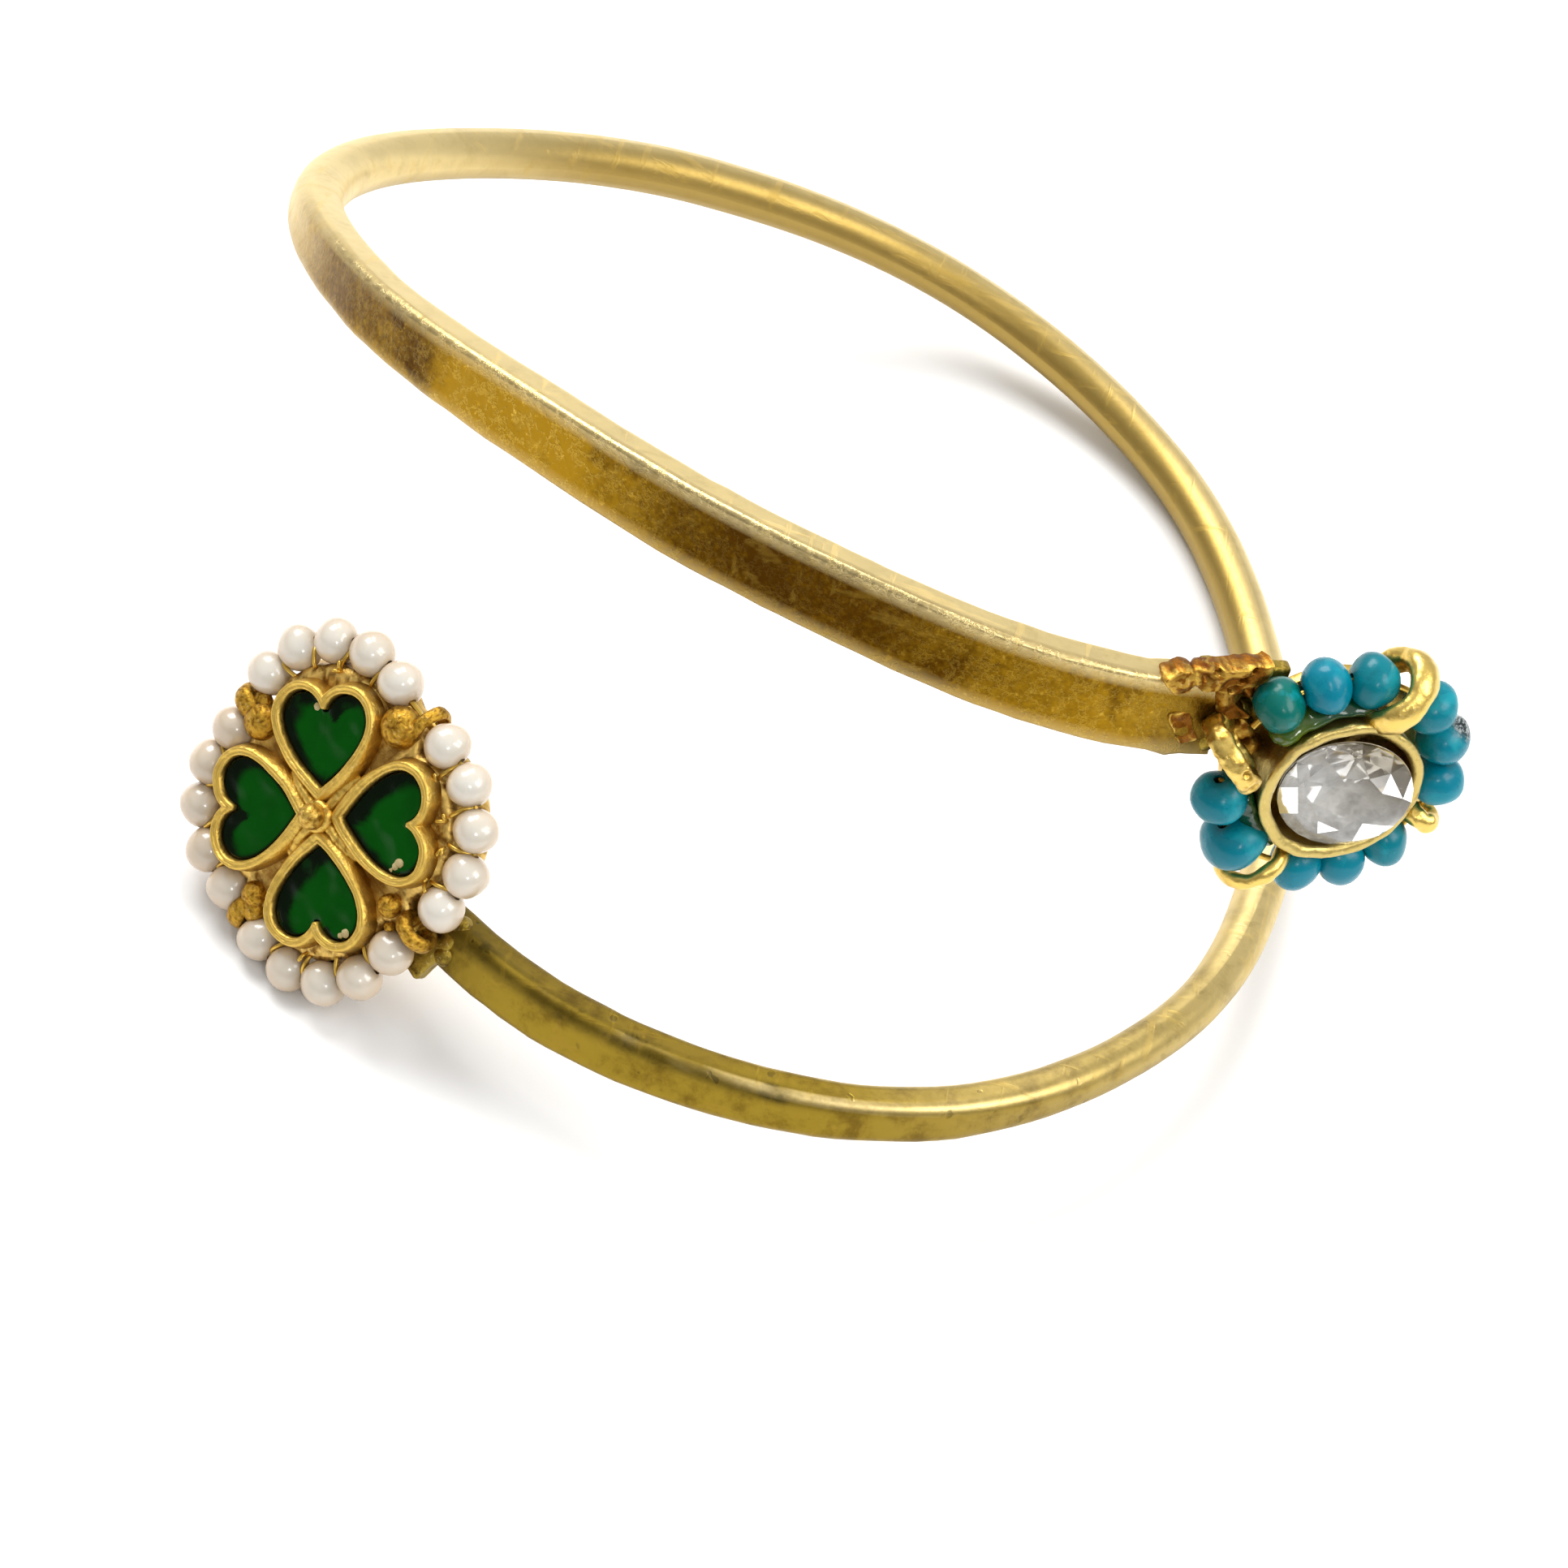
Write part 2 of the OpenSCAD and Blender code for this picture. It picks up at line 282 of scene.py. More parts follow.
def makeHammered():
    # soft dents of a small hammer, as a height
    group, given, result = newGroup("hammered", "Height", "Size")
    dents = addNode(group, "ShaderNodeTexVoronoi", {"feature": "SMOOTH_F1"},
                    Vector=given["Vector"], Scale=given["Size"], Smoothness=0.6)
    swell = noiseAt(given["Vector"], times(given["Size"], 0.45), 2.0)
    setInput(result, plus(times(dents.outputs["Distance"], 0.7), times(swell, 0.6)))
    return group


def makeScratches():
    # thin random scratches in two directions, as a mask
    group, given, result = newGroup("scratches", "Mask", "Size", "Amount")
    masks = []
    for turn, stretch in (((0.4, 0.9, 0.3), (1.0, 0.06, 0.4)), ((1.3, 0.2, 1.9), (0.08, 1.0, 0.5))):
        bend = addNode(group, "ShaderNodeMapping", None, Vector=given["Vector"],
                       Rotation=turn, Scale=stretch)
        masks.append(rangeNode(noiseAt(bend.outputs["Vector"], given["Size"], 3.0, 0.65), 0.58, 0.68))
    setInput(result, times(mathNode("MAXIMUM", *masks), given["Amount"]))
    return group


def makePatina():
    # blotches of tarnish with ragged edges, as a mask
    group, given, result = newGroup("patina", "Mask", "Size", "Amount")
    cloud = addNode(group, "ShaderNodeTexNoise", None, Vector=given["Vector"],
                    Scale=given["Size"], Detail=6.0, Roughness=0.62, Distortion=0.4)
    low = minus(0.72, times(given["Amount"], 0.4))
    setInput(result, rangeNode(cloud.outputs["Fac"], low, plus(low, 0.16)))
    return group


hammered, scratches, patina = makeHammered(), makeScratches(), makePatina()

barLook = {
    "satin": (0.78, 0.62, 0.29),       # round back of the bar
    "under": (0.31, 0.20, 0.035),      # painted shade on its lower and inner side, warmer and darker
    "low": (0.305, 0.205, 0.022),      # low arm near the clover
    "polish": (0.34, 0.185, 0.008),    # beaten outer face
    "brown": (0.062, 0.024, 0.001),    # dark gilding along the middle of that face
    "glint": (0.74, 0.48, 0.07),       # painted glints on the beaten face; bright scratches take this colour too
    "olive": (0.085, 0.060, 0.010),    # tarnish and soldering marks
    "edge": (0.88, 0.70, 0.33),        # rubbed edges, and a painted highlight along the low arm's upper ridge
}


def makeBarGold():
    material, shader, coords = newMaterial("barGold")
    along, flat, rubAndGlint, deep, dark, under = (attribute(shader, name)
                                           for name in ("along", "flat", "rubAndGlint", "deep", "dark", "under"))
    lowArm = rangeNode(along, 0.30, 0.10)
    blotch = placeGroup(patina, coords, Size=190.0, Amount=0.55)
    fine = placeGroup(patina, coords, Size=620.0, Amount=0.5)
    lines = placeGroup(scratches, coords, Size=1300.0, Amount=0.8)
    grain = noiseAt(coords, 3000.0, 3.0, 0.65)
    mottle = rangeNode(noiseAt(coords, 480.0, 5.0, 0.68), 0.42, 0.70)
    mottle = times(mottle, weighted(0.10, (lowArm, 0.50)))
    # gilding wrinkles: where a noise crosses its middle value
    fold = mathNode("ABSOLUTE", minus(noiseAt(coords, 850.0, 5.0, 0.72), 0.5))
    crack = times(rangeNode(fold, 0.045, 0.0), minus(1.0, fine))
    # the beaten face goes from amber to brown, in blotches with ragged edges
    reach = weighted(deep, (minus(blotch, 0.5), 0.35), (minus(grain, 0.5), 0.6))
    reach = times(rangeNode(reach, 0.05, 0.95), flat)
    # painted glints: bright flecks on the beaten face and along its wrinkles, fewer where it is brown
    paintedGlint = rangeNode(noiseAt(coords, 2100.0, 4.0, 0.7), 0.58, 0.72)
    paintedGlint = times(mathNode("MAXIMUM", paintedGlint, times(crack, 0.5)), flat)
    paintedGlint = times(paintedGlint, weighted(0.75, (deep, -0.68)))
    # tarnish, and dark pits where the arms are soldered
    soiled = times(dark, weighted(0.62, (fine, 0.45)), clamp=True)
    spots = rangeNode(noiseAt(coords, 900.0, 2.0), 0.67, 0.72)
    spots = times(spots, weighted(dark, (lowArm, 0.5)), clamp=True)
    # rubbed edges, with the painted highlight on the low arm's ridge
    wornAndGlint = times(rubAndGlint, weighted(0.35, (grain, 0.9)), clamp=True)
    # under lays painted shade on the bar's lower and inner side
    coats = [(lowArm, "low"), (mottle, "brown"), (times(fine, 0.16), "low"), (times(under, 0.85), "under"),
             (flat, "polish"), (reach, "brown"), (paintedGlint, "glint"), (soiled, "olive"), (times(spots, 0.8), "olive"),
             (times(wornAndGlint, 0.85), "edge"), (times(lines, 0.12), "glint")]
    color = painted(barLook["satin"], *((mask, barLook[name]) for mask, name in coats))
    rough = weighted(0.36, (grain, 0.14), (flat, -0.10), (lines, 0.10), (soiled, 0.22), (paintedGlint, -0.12))
    beaten = weighted(0.08, (mathNode("MAXIMUM", flat, times(lowArm, 0.5)), 0.7))
    height = times(placeGroup(hammered, coords, Size=620.0), beaten)
    height = weighted(height, (grain, 0.12), (times(crack, flat), 0.16), (lines, -0.12), (spots, -0.5))
    setInputs(shader, Base_Color=color, Metallic=1.0, Roughness=rough, Normal=bumpNode(height, 0.55, 0.00012))
    return material


# the other metals, which differ in these columns; grit is the height of the fine grain
headGolds = [
    # name, colour, colour of the tarnish and of the darker hollows (dirt and painted shade), roughness, dent size,
    # dent depth, soil, grit
    ("cellGold", (0.70, 0.47, 0.10), (0.25, 0.11, 0.008), 0.36, 1900.0, 0.00010, 0.25, 0.9),
    ("drumGold", (0.89, 0.61, 0.17), (0.17, 0.060, 0.003), 0.36, 2300.0, 0.00012, 0.48, 0.8),
    ("trimGold", (0.52, 0.30, 0.036), (0.14, 0.045, 0.002), 0.40, 2600.0, 0.00012, 0.35, 1.0),
    ("ringGold", (0.76, 0.54, 0.14), (0.34, 0.18, 0.02), 0.26, 1000.0, 0.00010, 0.2, 0.4),
    ("cupGold", (0.57, 0.435, 0.14), (0.27, 0.14, 0.016), 0.30, 1100.0, 0.00014, 0.3, 0.5),
    ("castGold", (0.62, 0.395, 0.068), (0.155, 0.039, 0.001), 0.38, 1600.0, 0.00014, 0.42, 0.5),
    ("solderGold", (0.36, 0.25, 0.040), (0.085, 0.048, 0.005), 0.38, 1700.0, 0.00016, 0.5, 0.6),
    ("wireGold", (0.66, 0.43, 0.08), (0.26, 0.13, 0.012), 0.30, 2500.0, 0.00002, 0.35, 0.25),
]


def makeHeadGold(name, base, hollow, rough, dentSize, dentDepth, soil, grit):
    material, shader, coords = newMaterial(name)
    low = attribute(shader, "low")  # hollows and low places are darker: dirt, and painted shade
    grain = noiseAt(coords, 4200.0, 3.0, 0.65)
    # painted glints on the grain of the metal, fewer in the hollows
    paintedGlint = times(rangeNode(grain, 0.56, 0.74), weighted(0.5, (low, -0.4)))
    color = painted(base, (placeGroup(patina, coords, Size=800.0, Amount=soil), hollow),
                    (times(low, 0.9), hollow), (paintedGlint, (0.86, 0.68, 0.30)))
    height = weighted(placeGroup(hammered, coords, Size=dentSize), (grain, grit))
    setInputs(shader, Base_Color=color, Metallic=1.0, Roughness=weighted(rough, (grain, 0.14)),
              Normal=bumpNode(height, 0.6, dentDepth))
    return material


barGold = makeBarGold()
golds = {row[0]: makeHeadGold(*row) for row in headGolds}
for wireName in ("pearl_wire", "turquoise_wire"):
    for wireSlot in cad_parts[wireName].material_slots:
        wireSlot.material = golds["wireGold"]
print("stage: metals")


bar = {
    "start": -111.0, "end": 308.0, "steps": 230, "cornerPoints": 5, "sidePoints": 5,
    "stationFirst": -120.0, "stationStep": 30.0,
    # radius, height, width along the wrist, thickness, corner radius
    "stations": [
        (26.6, -16.6, 2.9, 2.1, 0.50), (29.5, -16.05, 3.0, 2.2, 0.50),
        (32.25, -13.45, 2.6, 2.1, 0.60), (31.45, -10.0, 2.4, 2.4, 1.15),
        (29.35, -7.3, 2.75, 2.75, 1.35), (29.05, -4.8, 2.85, 2.85, 1.40),
        (31.25, -2.3, 2.75, 2.75, 1.35), (31.6, 0.15, 2.65, 2.65, 1.30),
        (30.3, 2.0, 2.85, 2.85, 1.40), (30.6, 3.3, 2.85, 2.85, 1.40),
        (32.05, 5.7, 2.95, 2.85, 1.30), (30.85, 9.7, 3.3, 2.25, 0.60),
        (29.1, 12.6, 3.9, 2.05, 0.35), (30.6, 14.4, 4.2, 1.8, 0.30),
        (33.7, 15.2, 4.4, 1.85, 0.30), (33.7, 15.8, 4.4, 1.85, 0.30),
    ],
    "roundCorner": 1.25, "sharpCorner": 0.5,  # corner radii of a round and of a beaten section
    "tornFrom": 0.972,  # share of the length from which the casting eats into the flat end
    # how brown the beaten face is: share of the bar's length, depth
    "brown": [(0.60, 0.0), (0.72, 0.25), (0.77, 0.85), (0.80, 0.75), (0.817, 0.1), (0.83, 0.0),
              (0.846, 0.15), (0.865, 0.6), (0.883, 0.9), (0.90, 1.0), (0.928, 1.0), (0.94, 0.85),
              (0.955, 0.68), (0.985, 0.45), (1.0, 0.7)],
}


def station(angle):
    u = (angle - bar["stationFirst"]) / bar["stationStep"]
    i = math.floor(u)
    last = len(bar["stations"]) - 1
    around = (Vector(bar["stations"][max(0, min(last, i + k))]) for k in (-1, 0, 1, 2))
    return splinePoint(*around, u - i)


def barCentre(angle):
    radius, height = station(angle)[:2]
    return polar(angle, radius, height)


def barFrame(angle):
    # outwards, and up along the wrist
    along = (barCentre(angle + 0.5) - barCentre(angle - 0.5)).normalized()
    radial = polar(angle, 1.0)
    out = (radial - along * along.dot(radial)).normalized()
    return out, out.cross(along)


def sectionPoints(w, t, c):
    # rounded rectangle as (along the wrist, outwards), counted from the outer upper corner
    n, m = bar["cornerPoints"], bar["sidePoints"]
    arcs = [[Vector((sx * (w / 2 - c), sy * (t / 2 - c), 0)) + polar(turn + 90 * j / (n - 1), c) for j in range(n)]
            for sx, sy, turn in ((1, 1, 0), (-1, 1, 90), (-1, -1, 180), (1, -1, 270))]
    points = []
    for k, arc in enumerate(arcs):
        there = arcs[(k + 1) % 4][0]
        points += arc + [arc[-1].lerp(there, j / (m + 1)) for j in range(1, m + 1)]
    return points


def fromTable(table, x):
    for (x0, y0), (x1, y1) in zip(table, table[1:]):
        if x <= x1:
            return y0 + (y1 - y0) * smoothstep(x0, x1, x)
    return table[-1][1]


def barMarks(f, u, v, spot, sharpness, torn, rough):
    # where each finish lies: f is the share of the length, u goes up along the wrist, v outwards
    rubbedAndGlint = smoothstep(0.60, 0.9, u) * smoothstep(0.5, 0.8, abs(v))
    rubbedAndGlint += 0.35 * smoothstep(0.6, 0.95, -u) * smoothstep(0.7, 1.0, abs(v))
    # a painted highlight along the low arm's upper ridge
    rubbedAndGlint += 0.55 * smoothstep(0.70, 0.95, u) * smoothstep(0.10, 0.17, f) * smoothstep(0.36, 0.28, f)
    rubbedAndGlint *= smoothstep(0.055, 0.12, f + 0.04 * noise.noise(spot / 0.9))
    # tarnish on the ridge of the low arm, the foot of the beaten face and both soldered ends
    ridge = smoothstep(0.125, 0.09, f) * smoothstep(0.30, 0.65, u) * smoothstep(0.20, 0.55, v)
    ridge *= 1.0 + 0.3 * noise.noise(spot / 1.4)
    ridge += smoothstep(0.12, 0.05, f) * smoothstep(0.5, 0.9, u) * smoothstep(0.6, 0.2, v) * 0.25
    foot = smoothstep(0.75, 0.9, f) * smoothstep(-0.7, -1.0, u) * 0.35
    ends = smoothstep(0.035, 0.0, f) * 0.6 + torn * (0.55 + 0.45 * smoothstep(0.0, -0.35, rough))
    # painted shade on the inner side of the round back and on the lower side of the bar
    inner = smoothstep(0.25, -0.75, v) * smoothstep(0.66, 0.58, f) * smoothstep(0.26, 0.36, f)
    lower = smoothstep(0.15, -0.75, u) * smoothstep(0.80, 0.66, f) * smoothstep(0.12, 0.22, f)
    return {
        "along": f,
        "flat": smoothstep(0.60, 0.72, f) * smoothstep(0.55, 0.85, v) * sharpness,
        "rubAndGlint": rubbedAndGlint * sharpness,
        "dark": min(1.0, ridge + foot + ends),
        # brown gilding on the beaten face, lighter again along its lower edge
        "deep": fromTable(bar["brown"], f) * (1 - 0.35 * smoothstep(-0.45, -0.95, u)),
        # painted shade on the lower and inner side
        "under": max(inner, lower),
    }


def makeBar():
    rings, marks = [], {}
    for i in range(bar["steps"] + 1):
        f = i / bar["steps"]
        angle = bar["start"] + (bar["end"] - bar["start"]) * f
        w, t, c = station(angle)[2:5]
        centre = barCentre(angle)
        out, up = barFrame(angle)
        sharpness = smoothstep(bar["roundCorner"], bar["sharpCorner"], c)
        torn = smoothstep(bar["tornFrom"], 1.0, f)
        ring, rows = [], []
        for p in sectionPoints(w, t, c):
            u, v = p.x / (w / 2), p.y / (t / 2)
            spot = centre + up * p.x + out * p.y
            beat = noise.noise(spot / 3.1) * 0.055 + noise.noise(spot / 1.1 + Vector((9, 0, 0))) * 0.022
            edge = smoothstep(0.75, 1.0, abs(u)) * smoothstep(0.55, 1.0, abs(v))
            nick = min(0.0, noise.noise(spot / 0.8 + Vector((0, 5, 0)))) * 0.12 * edge
            rough = beat * (0.25 + 0.75 * sharpness) + nick * sharpness
            rough += (abs(noise.noise(spot / 0.75)) - 0.25) * 0.75 * torn
            ring.append(spot + (up * u + out * v).normalized() * rough)
            rows.append(barMarks(f, u, v, spot, sharpness, torn, rough))
        rings.append(ring)
        for key in rows[0]:
            marks.setdefault(key, []).append([row[key] for row in rows])
    bm = bmesh.new()
    loft(bm, rings, capStart=True, capEnd=True, marks=marks)
    return finishPiece("bar", bm, restMatrix, barGold, angle=50)


barPiece = makeBar()
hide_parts("bangle")
print("stage: bar")


clover = {
    # direction, distance out to the bow's centre, sideways shift
    "rows": [(90, 3.6, 0.3), (0, 3.5, -0.1), (-90, 3.35, -0.25), (180, 3.1, 0.15)],
    "bowRadius": 5.4, "pearlStep": 25.2, "pearl": 2.25, "hole": 0.24, "swell": 1.035,
    "coreRadius": 6.4, "cornerOut": 5.9, "cornerRadius": 1.1, "pearlGap": 0.06,
    "heartWidth": 6.5, "heartReach": 6.9, "heartTip": 0.8, "lobeX": 1.4, "notchFill": 0.95,
    "sideBulge": 1.8, "sideSteps": 18, "lobeSteps": 22, "heartMiddle": 4.35,
    "glassInset": 0.57, "glassFoot": 0.46, "glassTop": 1.12,
    "rimShadow": (0.62, -0.38, 0),  # the rim's shadow on the glass is its outline, moved to the lower right
    "drumCount": 300, "backHeight": -2.55,
    # angle, distance of the ring's centre, its height, ring radius, band thickness, band width, turn
    "rings": [(42, 7.45, -0.30, 1.02, 0.20, 0.36, 4), (135, 7.72, -0.1, 0.70, 0.42, 0.60, -6),
              (225, 7.72, -0.1, 0.70, 0.38, 0.55, 5), (315, 7.80, 0.05, 0.88, 0.36, 0.46, -10)],
    # angle, distance out, height, radius, squash
    "grains": [(48, 6.52, 0.48, 1.15, 0.9), (135, 6.40, 0.50, 1.0, 0.75), (131, 7.25, 0.20, 0.66, 0.8),
               (225, 6.30, 0.60, 0.70, 0.9), (229, 7.05, 0.30, 0.68, 0.9), (315, 6.05, 0.75, 0.64, 1.0),
               (308, 6.85, 0.62, 0.26, 1.3)],
    # the drum from the middle of its back round to its face: inset, height, darkening by dirt and painted shade
    "profile": [(7.6 - 0.42 * k, -2.6, 0.2) for k in range(18)] + [
        (-0.30, -2.57, 0.2), (-0.48, -2.4, 0.2), (-0.54, -2.1, 0.2),
        (-0.54, -1.7, 0.5), (-0.48, -1.4, 0.5), (-0.36, -1.15, 0.5), (-0.24, -0.85, 0.5),
        (-0.12, -0.5, 0.5), (-0.03, -0.15, 0.5),
        (0.0, 0.12, 0.12), (0.06, 0.32, 0.12), (0.25, 0.47, 0.12), (0.55, 0.52, 0.12),
        (0.9, 0.5, 0.12), (1.4, 0.46, 0.12),
        (2.0, 0.5, 0.75), (2.8, 0.55, 0.75), (3.8, 0.6, 0.75)],
    # the wall of a heart and its double rim: inset, height
    "wall": [(-0.12, 0.45), (-0.08, 0.75), (-0.04, 1.10), (0.0, 1.34), (0.06, 1.47), (0.13, 1.52),
             (0.21, 1.49), (0.28, 1.42), (0.34, 1.45), (0.41, 1.47), (0.47, 1.41), (0.51, 1.25),
             (0.52, 0.90), (0.52, 0.45)],
    "fillet": 0.26,  # the walls spread and run together towards the middle
    # height and radius; height, ring radius and thickness
    "ball": (1.98, 0.70), "collar": (1.45, 0.60, 0.28),
    # the ridges where the cells meet: distance out, height
    "ridge": [(0.5, 1.14), (1.5, 1.10), (2.3, 0.96), (3.0, 0.60)], "ridgeRadius": 0.32,
    # a tie from the drum's face to between two pearls: distance from the bow's centre, height
    "tie": [(4.05, 0.38), (4.45, 0.1), (4.95, 0.0), (5.40, 0.0)], "tieRadius": 0.12, "endRadius": 0.11,
    "tieRise": (0.30, 0.44), "tieTilt": 6,
    # pale chips of old cement at the rims: place in the head, radius
    "chips": [((5.02, -2.02, 1.14), 0.30), ((4.78, -2.22, 1.10), 0.26), ((4.52, -2.36, 1.06), 0.20),
              ((1.82, -5.92, 1.12), 0.28), ((1.50, -6.05, 1.08), 0.22), ((-0.55, 5.62, 1.10), 0.24),
              ((2.30, -1.42, 1.08), 0.16)],
    # the solder tab behind the head: x, y, direction, length, width, foot, top, and the lumps on it
    "tab": (3.5, -4.0, -50, 3.9, 3.9, -2.2, -1.25),
    "lumps": [(7.0, -5.3, -1.8, 0.62), (6.15, -6.8, -1.75, 0.62)],
}


def bowCentre(turn, out, side):
    # the middle of the arc on which a row of pearls lies
    return turned(turn) @ Vector((out, side, 0))


def circleReach(direction, centre, radius):
    # how far a ray from the middle of the head gets to the far side of a circle
    b = polar(direction, 1.0).dot(centre)
    q = b * b - centre.length_squared + radius * radius
    return b + math.sqrt(q) if q > 0 else 0.0


def drumReach(direction):
    lobe = clover["bowRadius"] - clover["pearl"] / 2 - clover["pearlGap"]
    circles = [(bowCentre(*row), lobe) for row in clover["rows"]]
    circles += [(polar(row[0], clover["cornerOut"]), clover["cornerRadius"]) for row in clover["rings"]]
    return max([clover["coreRadius"]] + [circleReach(direction, *circle) for circle in circles])


def heartPoints(inset, height):
    # outline of one heart, its point towards the middle of the clover, smaller by inset
    c = clover
    lobeX, sides, lobes = c["lobeX"], c["sideSteps"], c["lobeSteps"]
    lobe = c["heartWidth"] / 2 - lobeX
    lobeY = c["heartReach"] - lobe
    width = c["heartWidth"] / 2 - inset
    tip = c["heartTip"] + inset * 1.25
    r = lobe - inset
    notch = max(c["notchFill"] - inset, math.sqrt(max(0.0, r * r - lobeX ** 2)), 0.02)
    right = [Vector((width * (1 - (1 - j / sides) ** c["sideBulge"]), tip + (lobeY - tip) * j / sides, height))
             for j in range(sides)]
    endAngle = 180 - math.degrees(math.asin(min(1.0, notch / r)))
    right += [Vector((lobeX, lobeY, height)) + polar(endAngle * j / (lobes - 1), r) for j in range(lobes)]
    right[-1].x = max(0.03, right[-1].x)
    left = [Vector((-p.x, p.y, p.z)) for p in reversed(right[1:])]
    return right + [Vector((0, lobeY + notch - 0.02, height))] + left


def roughen(bm, amount, size, seed=0.0, mark=None):
    # grainy cast surface; hollows are marked darker, as dirt with painted shade
    layer = mark and floatLayer(bm, mark)
    bm.normal_update()
    moves = []
    for v in bm.verts:
        spot = v.co / size + Vector((seed, seed * 1.7, -seed))
        moves.append(noise.noise(spot) + 0.5 * noise.noise(spot * 2.3))
    for v, move in zip(bm.verts, moves):
        v.co += v.normal * move * amount
        if layer:
            v[layer] = min(1.0, v[layer] + smoothstep(0.05, -0.5, move) * 0.9)


def makeDrum():
    count, profile = clover["drumCount"], clover["profile"]
    reaches = [(angle, drumReach(angle)) for angle in (360 * i / count for i in range(count))]
    rings, lows = [], []
    for inset, height, dirtAndShade in profile:
        rings.append([polar(angle, max(0.4, reach - inset), height) for angle, reach in reaches])
        lows.append([dirtAndShade] * count)
    bm = bmesh.new()
    loft(bm, rings, capStart=True, capEnd=True, marks={"low": lows})
    back = [(v, v.co.copy()) for v in bm.verts if v.co.z < clover["backHeight"]]
    roughen(bm, 0.035, 0.42, 1.0, "low")
    low = floatLayer(bm, "low")
    for v, spot in back:  # the back stays an even sheet
        v.co = spot
        v[low] = profile[0][2]
    roughen(bm, 0.05, 1.9, 4.0)
    return finishPiece("cloverDrum", bm, cloverMatrix, golds["drumGold"], angle=75)


def makeHeartCells():
    wall = clover["wall"]
    bm = bmesh.new()
    for k in range(4):
        part = bmesh.new()
        rings, lows = [], []
        for inset, height in wall:
            spread = clover["fillet"] * smoothstep(0.2, 0.0, inset) * smoothstep(1.75, 0.9, height)
            slim, wide = heartPoints(inset, height), heartPoints(inset - spread, height)
            rings.append([p.lerp(q, smoothstep(4.0, 2.2, p.y)) for p, q in zip(slim, wide)])
            # painted shade: each wall darker towards its foot
            low = smoothstep(1.1, 0.5, height) if inset < 0.3 else smoothstep(1.3, 0.9, height)
            lows.append([low] * len(slim))
        loft(part, rings, closed=True, marks={"low": lows})
        for v in part.verts:
            v.co += noise.noise_vector(v.co / 1.5 + Vector((k * 7, 0, 0))) * 0.05
            v.co.z += noise.noise(v.co / 0.5 + Vector((0, k * 5, 0))) * 0.035
        part.transform(turned(90 * k))
        joinTo(bm, part)
    return finishPiece("heartCells", bm, cloverMatrix, golds["cellGold"], angle=75)


def addBall(bm, place, radius, segments=40, squash=1.0, low=0.0):
    layer = floatLayer(bm, "low")
    verts = bmesh.ops.create_uvsphere(bm, u_segments=segments, v_segments=segments // 2, radius=radius)["verts"]
    bmesh.ops.scale(bm, verts=verts, vec=(1, 1, squash))
    bmesh.ops.translate(bm, verts=verts, vec=place)
    for v in verts:
        v[layer] = low


def addTorus(bm, matrix, radius, tube, width, arc=360.0, steps=40, sides=16, vary=0.0, seed=0.0):
    # a ring of round wire, or of a band where the width differs from the thickness
    rings = []
    closed = arc >= 360
    for i in range(steps if closed else steps + 1):
        angle = arc * i / steps
        swell = 1 + vary * noise.noise(Vector((seed, *polar(angle, 1.4).xy)))
        if not closed:  # an open ring ends round
            swell *= math.sqrt(max(0.004, 1 - abs(2 * i / steps - 1) ** 8))
        section = [polar(360 * j / sides, swell) for j in range(sides)]
        rings.append([matrix @ polar(angle, radius + tube * p.x, width * p.y) for p in section])
    loft(bm, rings, closed=closed, capStart=not closed, capEnd=not closed)


def addTube(bm, path, radius, sides=8, steps=6):
    # a bent wire through a few points, its ends rounded
    points = []
    for k in range(len(path) - 1):
        around = [Vector(path[max(0, min(len(path) - 1, k + j))]) for j in (-1, 0, 1, 2)]
        points += [splinePoint(*around, i / steps) for i in range(steps)]
    points.append(Vector(path[-1]))
    rings = []
    side = None
    last = len(points) - 1
    for i, p in enumerate(points):
        way = (points[min(i + 1, last)] - points[max(i - 1, 0)]).normalized()
        side = way.orthogonal().normalized() if side is None else (side - way * side.dot(way)).normalized()
        other = way.cross(side)
        section = [polar(360 * j / sides, radius * (0.45 if i in (0, last) else 1.0)) for j in range(sides)]
        rings.append([p + side * q.x + other * q.y for q in section])
    loft(bm, rings, capStart=True, capEnd=True)


def ringMatrix(angle, distance, height, turn):
    # a ring standing on the head's edge, its hole along the wire
    return turned(angle) @ Matrix.Translation((distance, 0, height)) @ turned(turn) @ turned(90, "X")


def makeCloverTrim():
    # corner rings and grains, granular like the drum they are soldered to
    bm = bmesh.new()
    for i, (angle, distance, height, ring, tube, width, turn) in enumerate(clover["rings"]):
        addTorus(bm, ringMatrix(angle, distance, height, turn), ring, tube, width,
                 steps=56, sides=24, vary=0.15, seed=i * 3.0)
    for angle, distance, height, radius, squash in clover["grains"]:
        addBall(bm, polar(angle, distance, height), radius, squash=squash)
    roughen(bm, 0.016, 0.16, 2.0, "low")
    roughen(bm, 0.03, 0.55, 6.0)
    return finishPiece("cloverTrim", bm, cloverMatrix, golds["trimGold"], angle=75, merge=0.0005)


def makeCloverCentre():
    # the ball on its collar, and the ridges where the cells meet
    bm = bmesh.new()
    height, radius = clover["ball"]
    addBall(bm, (0, 0, height), radius, 48, low=0.25)
    height, ring, tube = clover["collar"]
    addTorus(bm, Matrix.Translation((0, 0, height)), ring, tube, tube, sides=14, vary=0.2)
    for angle in (45, 135, 225, 315):
        addTube(bm, [polar(angle, *place) for place in clover["ridge"]], clover["ridgeRadius"], sides=14)
    roughen(bm, 0.035, 0.28, 3.0, "low")
    return finishPiece("cloverCentre", bm, cloverMatrix, golds["cellGold"], angle=75, merge=0.0005)


